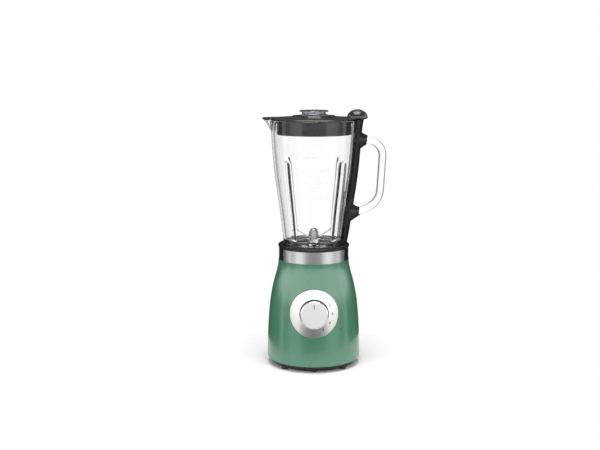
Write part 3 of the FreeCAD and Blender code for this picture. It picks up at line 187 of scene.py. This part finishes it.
def round_axis(centre, direction):
    """Brushing that runs in circles about an axis: (coordinates, tangent) for brushed()."""
    turn = direction.to_track_quat("Z", "Y").to_matrix().inverted()

    def place_of(t):
        local = t.node("ShaderNodeVectorMath", {"operation": "SUBTRACT"})
        t.feed(local, "0", t.place)
        t.feed(local, "1", tuple(centre))
        parts = []
        for row in turn:
            dot = t.node("ShaderNodeVectorMath", {"operation": "DOT_PRODUCT"})
            t.feed(dot, "0", local.outputs[0])
            t.feed(dot, "1", tuple(row))
            parts.append(dot.outputs["Value"])
        radius = t.math("SQRT", t.math("ADD", t.math("MULTIPLY", parts[0], parts[0]),
                                       t.math("MULTIPLY", parts[1], parts[1])))
        angle = t.math("MULTIPLY", t.math("ARCTAN2", parts[1], parts[0]), 0.4 * MM)
        across = t.node("ShaderNodeCombineXYZ", X=radius, Y=angle, Z=parts[2])
        round_ = t.node("ShaderNodeVectorMath", {"operation": "CROSS_PRODUCT"})
        t.feed(round_, "0", tuple(direction))
        t.feed(round_, "1", local.outputs[0])
        world = t.node("ShaderNodeVectorTransform",
                       {"vector_type": "VECTOR", "convert_from": "OBJECT", "convert_to": "WORLD"},
                       Vector=round_.outputs[0])
        return across.outputs[0], world.outputs[0]

    return place_of


def metal(name, colour, rough_low, rough_high, grain=300, depth=0.004, stretch=(1, 1, 1)):
    """Plain metal: slight tool marks and tarnish."""
    t = Tree(name)
    cloud = t.noise(90, 4)
    marks = t.noise(grain, 4, t.stretched(*stretch))
    shade = t.blend(t.spread(cloud, 0.0, 1.0), tuple(0.8 * c for c in colour), colour)
    t.set(Base_Color=shade, Metallic=1.0, Roughness=t.spread(marks, rough_low, rough_high),
          Normal=t.bump(marks, depth * MM))
    return t.material


def layered(name, colour, gap_colour, pitch, metallic, rough):
    """Stacked or wound material: fine parallel lines along Z, such as laminations or wire."""
    t = Tree(name)
    wave = t.node("ShaderNodeTexWave", {"bands_direction": "Z"}, Vector=t.place,
                  Scale=0.314 / pitch, Distortion=0.4, Detail=1.0).outputs["Fac"]
    cloud = t.noise(120, 3)
    shade = t.blend(t.spread(wave, 0.0, 1.0, 0.05, 0.4), gap_colour, colour)
    t.set(Base_Color=shade, Metallic=metallic, Roughness=t.spread(cloud, rough, rough + 0.15),
          Normal=t.bump(wave, 0.12 * MM))
    return t.material


def glass(name, colour, rough, wobble, wobble_depth, ior=1.5):
    """Pressed glass or clear plastic: transmission with a slight surface wobble."""
    t = Tree(name)
    wave = t.noise(wobble, 2)
    dust = t.noise(700, 3)
    t.set(Base_Color=t.blend(t.spread(dust, 0.0, 1.0), tuple(0.985 * c for c in colour), colour),
          Transmission_Weight=1.0, IOR=ior, Roughness=t.spread(dust, rough, rough + 0.012),
          Normal=t.bump(wave, wobble_depth * MM))
    return t.material


def lid_gloss(name):
    """Lid plastic: satin on the faces that look up, glossy on the skirt and edges."""
    t = Tree(name)
    facing = t.node("ShaderNodeSeparateXYZ",
                    Vector=t.node("ShaderNodeNewGeometry").outputs["Normal"]).outputs["Z"]
    up = t.spread(facing, 0.0, 1.0, 0.55, 0.9)
    cloud = t.noise(60, 4)
    speck = t.noise(1500, 3)
    rough = t.math("ADD", t.spread(cloud, 0.08, 0.16), t.math("MULTIPLY", up, 0.26))
    shade = t.blend(t.spread(cloud, 0.0, 1.0), hue(18, 18, 18), hue(27, 27, 27))
    t.set(Base_Color=shade, Roughness=rough,
          Normal=t.bump(t.math("MULTIPLY", speck, up), 0.03 * MM))
    return t.material


def board_material(name):
    """Circuit board: solder mask with a web of tracks."""
    t = Tree(name)
    cells = t.node("ShaderNodeTexVoronoi", {"feature": "DISTANCE_TO_EDGE"}, Vector=t.place,
                   Scale=240.0)
    track = t.spread(cells.outputs["Distance"], 1.0, 0.0, 0.02, 0.08)
    shade = t.blend(track, hue(22, 96, 52), hue(60, 140, 80))
    t.set(Base_Color=shade, Roughness=t.spread(t.noise(200), 0.25, 0.4),
          Normal=t.bump(track, 0.03 * MM))
    return t.material


steel = hue(214, 215, 214)
about_drive = round_axis(axis, Vector((0, 0, 1)))
about_dial = round_axis(dial_centre, dial_out)
materials = {
    "green_paint": painted("green_paint", hue(52, 105, 80), hue(48, 101, 76)),
    "black_plastic": moulded("black_plastic", hue(13, 13, 12), 0.3, 0.36, shine=0.3),
    "gloss_black": lid_gloss("gloss_black"),
    "brushed_steel": brushed("brushed_steel", steel, about_drive),
    "silver_plastic": brushed("silver_plastic", steel, about_dial, 0.22, 0.5),
    "dark_print": moulded("dark_print", hue(40, 40, 42), 0.4, 0.5),
    "clear_glass": glass("clear_glass", (0.985, 0.995, 0.99), 0.0, 26, 0.05),
    "smoky_plastic": glass("smoky_plastic", hue(204, 202, 216), 0.05, 60, 0.05, 1.49),
    "seal_rubber": moulded("seal_rubber", hue(13, 13, 14), 0.13, 0.17, 900, 0.002),
    "rubber": moulded("rubber", hue(22, 22, 22), 0.55, 0.7, 1200, 0.05),
    "stainless": metal("stainless", hue(205, 205, 203), 0.1, 0.24, 500, 0.004, (1, 6, 1)),
    "zinc_steel": metal("zinc_steel", hue(190, 192, 190), 0.28, 0.42),
    "core_steel": layered("core_steel", hue(120, 120, 122), hue(60, 58, 58), 0.5 * MM, 0.9, 0.4),
    "polished_steel": metal("polished_steel", hue(200, 200, 200), 0.12, 0.25, 900, 0.003,
                            (1, 1, 8)),
    "copper": layered("copper", hue(190, 106, 58), hue(92, 44, 22), 0.7 * MM, 0.85, 0.28),
    "brass": metal("brass", hue(205, 172, 98), 0.2, 0.34),
    "carbon": moulded("carbon", hue(40, 40, 42), 0.55, 0.75, 2200, 0.06),
    "white_plastic": moulded("white_plastic", hue(215, 214, 208), 0.35, 0.5),
    "circuit_board": board_material("circuit_board"),
    "component_plastic": moulded("component_plastic", hue(190, 150, 60), 0.25, 0.4),
    "lead_insulation": moulded("lead_insulation", hue(60, 84, 160), 0.3, 0.45),
}
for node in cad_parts.values():
    for held in node.material_slots:
        held.material = materials[held.material.name.split(".")[0]]

dial_steel = brushed("dial_steel", hue(190, 190, 187), about_dial, 0.24, 0.8)
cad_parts["dial_bezel"].material_slots[0].material = dial_steel
knob_steel = brushed("knob_steel", hue(206, 206, 205), about_dial, 0.42, 0.4)
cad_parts["knob_face"].material_slots[0].material = knob_steel


# ------------------------------------------------------------------ mesh helpers
def add_mesh(name, verts, faces, material, body):
    """New smooth piece from vertices and faces, riding on a body."""
    mesh = bpy.data.meshes.new(name)
    mesh.from_pydata([tuple(v) for v in verts], [], faces)
    mesh.validate()
    piece = bpy.data.objects.new(name, mesh)
    bpy.context.scene.collection.objects.link(piece)
    tidy = bmesh.new()
    tidy.from_mesh(mesh)
    bmesh.ops.recalc_face_normals(tidy, faces=tidy.faces)
    tidy.to_mesh(mesh)
    tidy.free()
    for polygon in mesh.polygons:
        polygon.use_smooth = True
    mesh.materials.append(material)
    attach(piece, body)
    return piece


def grid_faces(rings, columns, close_rings):
    """Quads of a closed strip of rings; close_rings joins the last ring to the first."""
    faces = []
    for i in range(rings if close_rings else rings - 1):
        for j in range(columns):
            a = i * columns + j
            b = i * columns + (j + 1) % columns
            c = (i + 1) % rings * columns
            faces.append((a, b, c + (j + 1) % columns, c + j))
    return faces


def wall_radius(node, z, azimuth, outside=True):
    """Radius of a CAD node's wall at a height, by a ray towards or away from the drive axis."""
    way = Vector((math.cos(azimuth), math.sin(azimuth), 0))
    centre = Vector((axis.x, axis.y, z))
    start = centre + way * 0.2 if outside else centre
    hit, place, _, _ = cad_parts[node].ray_cast(start, -way if outside else way)
    if not hit:
        raise ValueError(f"no wall of {node} at height {z}")
    return (place - centre).length


def fuse(piece, tool):
    """Join a tool's solid to a piece, and drop the tool."""
    union = piece.modifiers.new("union", "BOOLEAN")
    union.operation = "UNION"
    union.solver = "EXACT"
    union.object = tool
    bpy.context.view_layer.update()
    graph = bpy.context.evaluated_depsgraph_get()
    joined = bpy.data.meshes.new_from_object(piece.evaluated_get(graph))
    piece.modifiers.clear()
    piece.data = joined
    bpy.data.objects.remove(tool)


# ------------------------------------------------------------------ glass jar
GLASS = {
    "columns": 384,
    "wall_rings": 96,
    "rim_round": 1.6 * MM,
    "heel_round": 3.2 * MM,
    "floor_rise": 4.5 * MM,     # inner floor over the heel
    "floor_round": 4.5 * MM,
    "neck_r": 40.5 * MM,
    "bore_r": 33.0 * MM,
    "thread_turns": 2,
    "thread_height": 0.7 * MM,
    "spout_reach": 77.4 * MM,   # of the pouring lip from the drive axis
    "spout_depth": 17.0 * MM,
    "spout_root_r": 8.0 * MM,
    "spout_tip_r": 17.4 * MM,
    "spout_wall": 4.2 * MM,
    "flute_width": 4.0 * MM,
    "flute_depth": 2.3 * MM,
    "ridge_width": 5.0 * MM,
    "ridge_height": 3.0 * MM,
    "flute_top": 62.0 * MM,     # below the rim
    "flute_foot": 9.0 * MM,     # over the heel
    "handle_r": 6.0 * MM,
    "top_bend": 24.0 * MM,
    "low_bend": 32.0 * MM,
    "grip_top_x": 107.3 * MM,   # from the drive axis
    "grip_low_x": 101.6 * MM,
    "handle_top": 31.8 * MM,    # below the rim
    "handle_low": 39.8 * MM,    # over the heel
    "grip_corner": 64.4 * MM,
}
side_view = math.radians(-90)   # azimuth where the jar's wall has no flute, spout or handle


def soft_max(a, b, width):
    """Larger of two values with a rounded change-over."""
    h = max(width - abs(a - b), 0.0) / width
    return max(a, b) + h * h * width / 4


def smooth_step(t):
    t = min(max(t, 0.0), 1.0)
    return t * t * (3 - 2 * t)


def spout_radius(z, turn, wall):
    """Radius of the pouring lip at an angle from its middle, or 0 where it isn't."""
    g = GLASS
    share = 1 - (rim - z) / g["spout_depth"]
    if share < 0:
        return 0.0
    r = g["spout_root_r"] + (g["spout_tip_r"] - g["spout_root_r"]) * share - wall
    centre = g["spout_reach"] - g["spout_tip_r"] - 2 * MM * (1 - share)
    inside = r * r - (centre * math.sin(turn)) ** 2
    if inside <= 0 or math.cos(turn) < 0 or r <= 0:
        return 0.0
    return centre * math.cos(turn) + math.sqrt(inside)


def flute_share(z, turn_from_flute, radius, width):
    """Depth share of a flute: a soft bell across, rounded off at both ends."""
    g = GLASS
    across = radius * turn_from_flute / width
    if abs(across) > 3:
        return 0.0
    low = smooth_step((z - heel - g["flute_foot"] + 5 * MM) / (8 * MM))
    high = smooth_step((rim - g["flute_top"] + 4 * MM - z) / (9 * MM))
    grow = 0.65 + 0.35 * (z - heel) / (rim - heel - g["flute_top"])
    return low * high * grow * math.exp(-across * across)


def jar_section(azimuth, outer, inner):
    """Closed outline of the glass at an azimuth: (radius, z) from the neck's foot and round."""
    g = GLASS
    from_spout = azimuth - math.pi
    quarter = math.radians(90)
    from_flute = from_spout % quarter - quarter / 2
    points = []
    top = rim - g["rim_round"]
    for z, r in outer:
        r -= g["flute_depth"] * flute_share(z, from_flute, r, g["flute_width"])
        points.append((soft_max(r, spout_radius(z, from_spout, 0), 4 * MM), z))
    crest_out = points[-1][0]
    inner_points = []
    for z, r in inner:
        r -= g["ridge_height"] * flute_share(z, from_flute, r, g["ridge_width"])
        inner_points.append((soft_max(r, spout_radius(z, from_spout, g["spout_wall"]), 4 * MM), z))
    crest_in = inner_points[-1][0]
    round_r = min(g["rim_round"], (crest_out - crest_in) / 2)
    for step in range(1, 6):
        a = math.radians(90 * step / 6)
        points.append((crest_out - round_r * (1 - math.cos(a)), top + round_r * math.sin(a)))
    points.append((crest_out - round_r, rim))
    points.append((crest_in + round_r, rim))
    for step in range(1, 6):
        a = math.radians(90 * step / 6)
        points.append((crest_in + round_r * (1 - math.sin(a)), top + round_r * math.cos(a)))
    points += reversed(inner_points)
    return points


def glass_body():
    """The jar's glass without its handle, as one closed surface of rings."""
    g = GLASS
    floor = heel + g["floor_rise"]
    heights_out = [heel + g["heel_round"] + (rim - g["rim_round"] - heel - g["heel_round"])
                   * i / g["wall_rings"] for i in range(g["wall_rings"] + 1)]
    heights_in = [floor + g["floor_round"] + (rim - g["rim_round"] - floor - g["floor_round"])
                  * i / g["wall_rings"] for i in range(g["wall_rings"] + 1)]
    outer = [(z, wall_radius("glass_jar", z, side_view)) for z in heights_out]
    inner = [(z, wall_radius("glass_jar", z, side_view, outside=False)) for z in heights_in]
    heel_r = outer[0][1]
    floor_r = inner[0][1]
    columns = []
    for j in range(g["columns"]):
        azimuth = 2 * math.pi * j / g["columns"]
        foot = neck_outline(azimuth)
        for step in range(1, 8):
            a = math.radians(90 * step / 8)
            foot.append((heel_r - g["heel_round"] * (1 - math.sin(a)),
                         heel + g["heel_round"] * (1 - math.cos(a))))
        wall = jar_section(azimuth, outer, inner)
        end = []
        for step in range(1, 8):
            a = math.radians(90 * step / 8)
            end.append((floor_r - g["floor_round"] * (1 - math.cos(a)),
                        floor + g["floor_round"] * (1 - math.sin(a))))
        end.append((floor_r - g["floor_round"], floor))
        end.append(((floor_r + g["bore_r"]) / 2, floor - 0.2 * MM))
        end.append((g["bore_r"] + 1 * MM, floor - 0.4 * MM))
        end.append((g["bore_r"] + 0.3 * MM, floor - 0.7 * MM))
        end.append((g["bore_r"], floor - 1.4 * MM))
        end.append((g["bore_r"], neck_bottom + 0.5 * MM))
        end.append((g["bore_r"] + 0.5 * MM, neck_bottom))
        columns.append([(r, z, azimuth) for r, z in foot + wall + end])
    rings = len(columns[0])
    verts = []
    for i in range(rings):
        for column in columns:
            r, z, azimuth = column[i]
            verts.append(axis + Vector((r * math.cos(azimuth), r * math.sin(azimuth), z)))
    return verts, grid_faces(rings, g["columns"], True)


def neck_outline(azimuth):
    """Threaded neck below the heel: (radius, z) upwards, then out along the heel's underside."""
    g = GLASS
    low = neck_bottom + 1.2 * MM
    high = heel - 1.0 * MM
    points = [(g["neck_r"] - 0.8 * MM, neck_bottom),
              (g["neck_r"] - 0.2 * MM, neck_bottom + 0.4 * MM)]
    steps = 22
    for i in range(steps + 1):
        share = i / steps
        phase = 2 * math.pi * g["thread_turns"] * share - azimuth
        ends = smooth_step(share / 0.2) * smooth_step((1 - share) / 0.2)
        thread = max(math.cos(phase), 0.0) ** 2 * g["thread_height"] * ends
        points.append((g["neck_r"] - g["thread_height"] + thread, low + (high - low) * share))
    heel_r = wall_radius("glass_jar", heel + 4 * MM, side_view)
    points.append((g["neck_r"] + 0.4 * MM, heel))
    points.append(((g["neck_r"] + heel_r) / 2, heel))
    points.append((heel_r - g["heel_round"], heel))
    return points


def rounded_path(corners, bends, step):
    """Points along straight runs joined by tangent arcs, about a step apart."""
    path = [corners[0]]
    for before, corner, after, bend in zip(corners, corners[1:], corners[2:], bends):
        back = (before - corner).normalized()
        ahead = (after - corner).normalized()
        half = back.angle(ahead) / 2
        setback = bend / math.tan(half)
        centre = corner + (back + ahead).normalized() * bend / math.sin(half)
        enter = corner + back * setback
        leave = corner + ahead * setback
        run = enter - path[-1]
        count = max(int(run.length / step), 2)
        start = path[-1]
        path += [start + run * i / count for i in range(1, count + 1)]
        turns = max(int((math.pi - 2 * half) * bend / (step / 2)), 8)
        first = (enter - centre).normalized()
        second = (leave - centre).normalized()
        for i in range(1, turns + 1):
            path.append(centre + first.slerp(second, i / turns) * bend)
    start = path[-1]
    run = corners[-1] - start
    count = max(int(run.length / step), 2)
    path += [start + run * i / count for i in range(1, count + 1)]
    return path


def round_bar(path, radius, sides):
    """Closed bar along a path in the plane y = const: (vertices, faces)."""
    verts = []
    for i, place in enumerate(path):
        ahead = path[min(i + 1, len(path) - 1)] - path[max(i - 1, 0)]
        ahead.normalize()
        flat = Vector((0, 1, 0))
        up = ahead.cross(flat).normalized()
        for j in range(sides):
            a = 2 * math.pi * j / sides
            verts.append(place + flat * radius * math.cos(a) + up * radius * math.sin(a))
    faces = grid_faces(len(path), sides, False)
    faces.append(tuple(range(sides)))
    faces.append(tuple(reversed(range(len(verts) - sides, len(verts)))))
    return verts, faces


def handle_bar():
    """The glass handle: a round bar whose roots run into the wall."""
    g = GLASS
    top_z = rim - g["handle_top"]
    low_z = heel + g["handle_low"]
    top_r = wall_radius("glass_jar", top_z, side_view)
    low_r = wall_radius("glass_jar", low_z, side_view)
    corners = [(top_r - 2.5 * MM, top_z), (g["grip_top_x"], top_z),
               (g["grip_low_x"], heel + g["grip_corner"]), (low_r - 2.5 * MM, low_z)]
    path = rounded_path([axis + Vector((x, 0, z)) for x, z in corners],
                        (g["top_bend"], g["low_bend"]), 3 * MM)
    return round_bar(path, g["handle_r"], 48)


def jar_glass():
    """Glass jar with its handle fused on, standing for the CAD jar."""
    verts, faces = glass_body()
    jar = add_mesh("jar_glass", verts, faces, materials["clear_glass"], "jar")
    verts, faces = handle_bar()
    bar = add_mesh("handle_tool", verts, faces, materials["clear_glass"], "jar")
    fuse(jar, bar)
    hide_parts("glass_jar")
    return jar


glass_piece = jar_glass()


# ------------------------------------------------------------------ print on dial and jar
def print_text(name, words, height, place_of, material, body):
    """Thin printed characters laid on a surface. place_of maps flat (x, y) to (point, normal)."""
    verts, faces = [], []
    for text, middle_x, middle_y in words:
        curve = bpy.data.curves.new("characters", "FONT")
        curve.body = text
        curve.size = height / 0.72
        curve.align_x = "CENTER"
        curve.align_y = "CENTER"
        curve.resolution_u = 4
        curve.offset = 0.02 * curve.size
        letters = bpy.data.objects.new("characters", curve)
        bpy.context.scene.collection.objects.link(letters)
        bpy.context.view_layer.update()
        flat = bpy.data.meshes.new_from_object(
            letters.evaluated_get(bpy.context.evaluated_depsgraph_get()))
        base = len(verts)
        for vertex in flat.vertices:
            verts.append(place_of(middle_x + vertex.co.x, middle_y + vertex.co.y))
        faces += [tuple(base + v for v in polygon.vertices) for polygon in flat.polygons]
        bpy.data.objects.remove(letters)
        bpy.data.curves.remove(curve)
        bpy.data.meshes.remove(flat)
    return printed_sheet(name, verts, faces, material, body)


def printed_sheet(name, verts, faces, material, body):
    """Ink layer: a front and a back skin joined at the edges."""
    ink = 0.06 * MM
    lift = 0.1 * MM
    mesh = bpy.data.meshes.new(name)
    mesh.from_pydata([tuple(point + normal * lift) for point, normal in verts], [], faces)
    mesh.validate()
    piece = bpy.data.objects.new(name, mesh)
    bpy.context.scene.collection.objects.link(piece)
    mesh.materials.append(material)
    thick = piece.modifiers.new("ink", "SOLIDIFY")
    thick.thickness = ink
    thick.offset = 1.0
    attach(piece, body)
    return piece


SCALE = {
    "long_lines": (346.1, 328.1, 309.6, 289.9, 267.6),      # heights over the worktop, in mm
    "short_lines": (352.7, 336.4, 318.6, 299.2, 278.2),
    "middle_x": -2.0,           # from the drive axis, in mm like the rest
    "long_half": 16.5,
    "long_thickness": 0.45,
    "short_half": 10.0,
    "short_thickness": 0.3,
    "spans": 12,
    "number_x": 20.0,
    "number_height": 4.5,
    "top_number": 6,
}


def on_jar(x, z):
    """Point and normal of the jar's front at x from the drive axis and height z."""
    start = Vector((axis.x + x, axis.y - 0.2, z))
    _, place, normal, _ = glass_piece.ray_cast(start, Vector((0, 1, 0)))
    return place, normal


def measuring_scale():
    """Printed filling marks on the jar's front: long and short lines."""
    g = SCALE
    verts, faces = [], []
    marks = [(z, g["long_half"], g["long_thickness"]) for z in g["long_lines"]]
    marks += [(z, g["short_half"], g["short_thickness"]) for z in g["short_lines"]]
    for z, half, thickness in marks:
        base = len(verts)
        count = g["spans"]
        for i in range(count + 1):
            x = (g["middle_x"] - half + 2 * half * i / count) * MM
            for side in (-0.5, 0.5):
                verts.append(on_jar(x, (z + side * thickness) * MM))
        faces += [(base + 2 * i, base + 2 * i + 2, base + 2 * i + 3, base + 2 * i + 1)
                  for i in range(count)]
    printed_sheet("measuring_lines", verts, faces, materials["white_plastic"], "jar")
    words = [(str(g["top_number"] - i), g["number_x"] * MM, z * MM)
             for i, z in enumerate(g["long_lines"])]
    print_text("measuring_numbers", words, g["number_height"] * MM, on_jar,
               materials["white_plastic"], "jar")


def on_bezel(x, y):
    """Point and normal of the dial ring at (x, y) across the dial, in metres."""
    right = Vector((1, 0, 0))
    up = dial_out.cross(right).normalized()
    start = dial_centre + right * x + up * y + dial_out * 0.08
    _, place, normal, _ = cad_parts["dial_bezel"].ray_cast(start, -dial_out)
    return place, normal


def dial_print():
    """Numbers of the dial's steps, clockwise from the off position at the top."""
    circle_r = 27.5 * MM
    number_height = 4.0 * MM
    step = 30                   # degrees
    words = []
    for number in range(1, 6):
        a = math.radians(90 - step * number)
        words.append((str(number), circle_r * math.cos(a), circle_r * math.sin(a)))
    print_text("dial_numbers", words, number_height, on_bezel, materials["dark_print"], "base")


dial_print()
measuring_scale()


# ------------------------------------------------------------------ camera, floor and light
def set_camera():
    """The viewing angle: from the front, a little above."""
    across, back, height = -0.0214, 1.552, 0.475    # metres from the foot of the drive axis
    pitch = 9.4                                     # degrees downwards
    camera = bpy.data.cameras.new("camera")
    camera.lens = 60.5
    camera.sensor_width = 36
    camera.clip_end = 20
    holder = bpy.data.objects.new("camera", camera)
    bpy.context.scene.collection.objects.link(holder)
    holder.location = (axis.x + across, axis.y - back, height)
    holder.rotation_euler = (math.radians(90 - pitch), 0, 0)
    bpy.context.scene.camera = holder


def add_floor():
    """Round pale floor with a soft sheen."""
    t = Tree("floor")
    cloud = t.noise(3, 3)
    shade = t.blend(t.spread(cloud, 0.0, 1.0), (0.9, 0.9, 0.9), (0.93, 0.93, 0.93))
    t.set(Base_Color=shade, Roughness=t.spread(t.noise(8, 3), 0.32, 0.4))
    radius = 0.2
    sides = 96
    verts = [(radius * math.cos(2 * math.pi * i / sides),
              radius * math.sin(2 * math.pi * i / sides), 0) for i in range(sides)]
    mesh = bpy.data.meshes.new("floor")
    mesh.from_pydata(verts, [], [tuple(range(sides))])
    mesh.materials.append(t.material)
    floor = bpy.data.objects.new("floor", mesh)
    bpy.context.scene.collection.objects.link(floor)


def soft_box(name, place, target, width, height, power):
    """Rectangular light aimed at a point, not seen by the camera itself."""
    light = bpy.data.lights.new(name, "AREA")
    light.shape = "RECTANGLE"
    light.size = width
    light.size_y = height
    light.energy = power
    holder = bpy.data.objects.new(name, light)
    bpy.context.scene.collection.objects.link(holder)
    holder.location = place
    holder.rotation_euler = (Vector(target) - Vector(place)).to_track_quat("-Z", "Y").to_euler()
    holder.visible_camera = False


def set_world():
    """White studio: plain white to the camera; bright and dark panels in what surfaces see."""
    world = bpy.data.worlds.new("studio")
    bpy.context.scene.world = world
    world.use_nodes = True
    tree = world.node_tree
    tree.nodes.clear()
    links = tree.links
    output = tree.nodes.new("ShaderNodeOutputWorld")
    background = tree.nodes.new("ShaderNodeBackground")
    background.inputs["Color"].default_value = (1, 1, 1, 1)
    links.new(background.outputs[0], output.inputs["Surface"])
    way = tree.nodes.new("ShaderNodeTexCoord").outputs["Generated"]
    parts = tree.nodes.new("ShaderNodeSeparateXYZ")
    links.new(way, parts.inputs[0])

    def op(operation, first, second=0.0):
        made = tree.nodes.new("ShaderNodeMath")
        made.operation = operation
        for index, value in enumerate((first, second)):
            if isinstance(value, bpy.types.NodeSocket):
                links.new(value, made.inputs[index])
            else:
                made.inputs[index].default_value = value
        return made.outputs[0]

    def ramp(value, stops):
        made = tree.nodes.new("ShaderNodeValToRGB")
        links.new(value, made.inputs[0])
        band = made.color_ramp
        while len(band.elements) < len(stops):
            band.elements.new(0.5)
        for element, (degrees, level) in zip(band.elements, stops):
            element.position = degrees / 180
            element.color = (level, level, level, 1)
        return made.outputs[0]

    # Both run from 0 to 1: azimuth from the front round to the back, on either side alike,
    # and height from straight down to straight up. The ramps' stops are in degrees, so the
    # horizon is at 90. What clear pieces show through them has its own ramp.
    azimuth = op("DIVIDE", op("ABSOLUTE", op("ARCTAN2", parts.outputs["X"],
                                             op("MULTIPLY", parts.outputs["Y"], -1.0))), math.pi)
    height = op("ADD", op("DIVIDE", op("ARCSINE", parts.outputs["Z"]), math.pi), 0.5)
    panels = ramp(azimuth, [(0, 0.3), (14, 0.22), (29, 0.3), (36, 1.3), (62, 1.1), (70, 0.4),
                            (81, 0.4), (84, 1.3), (92, 1.3), (97, 0.08), (180, 0.03)])
    sides = op("MULTIPLY", panels, ramp(height, [(90, 1.0), (100, 0.3), (180, 0.0)]))
    above = ramp(height, [(88, 0.0), (110, 0.1), (140, 0.4), (180, 0.5)])
    bank = op("MULTIPLY", ramp(azimuth, [(0, 1.0), (108, 1.0), (122, 0.3), (138, 0.0)]),
              ramp(height, [(87, 0.0), (93, 0.8), (98, 1.0), (114, 1.0), (122, 0.0)]))
    seen_off = op("ADD", op("MAXIMUM", sides, above), op("MULTIPLY", bank, 2.6))
    through = ramp(azimuth, [(0, 0.9), (55, 0.9), (85, 0.5), (105, 0.2), (132, 0.15),
                             (146, 0.4), (158, 1.08), (180, 1.08)])
    rays = tree.nodes.new("ShaderNodeLightPath").outputs
    clear = rays["Is Transmission Ray"]
    level = op("ADD", op("MULTIPLY", op("SUBTRACT", 1.0, clear), seen_off),
               op("MULTIPLY", clear, through))
    links.new(op("MAXIMUM", level, rays["Is Camera Ray"]), background.inputs["Strength"])


def light_scene():
    """White studio with one wide lamp overhead."""
    set_world()
    soft_box("overhead", (0, -0.25, 1.5), (0, 0, 0), 1.0, 1.0, 24)
    bpy.context.scene.view_settings.view_transform = "Standard"


set_camera()
add_floor()
light_scene()
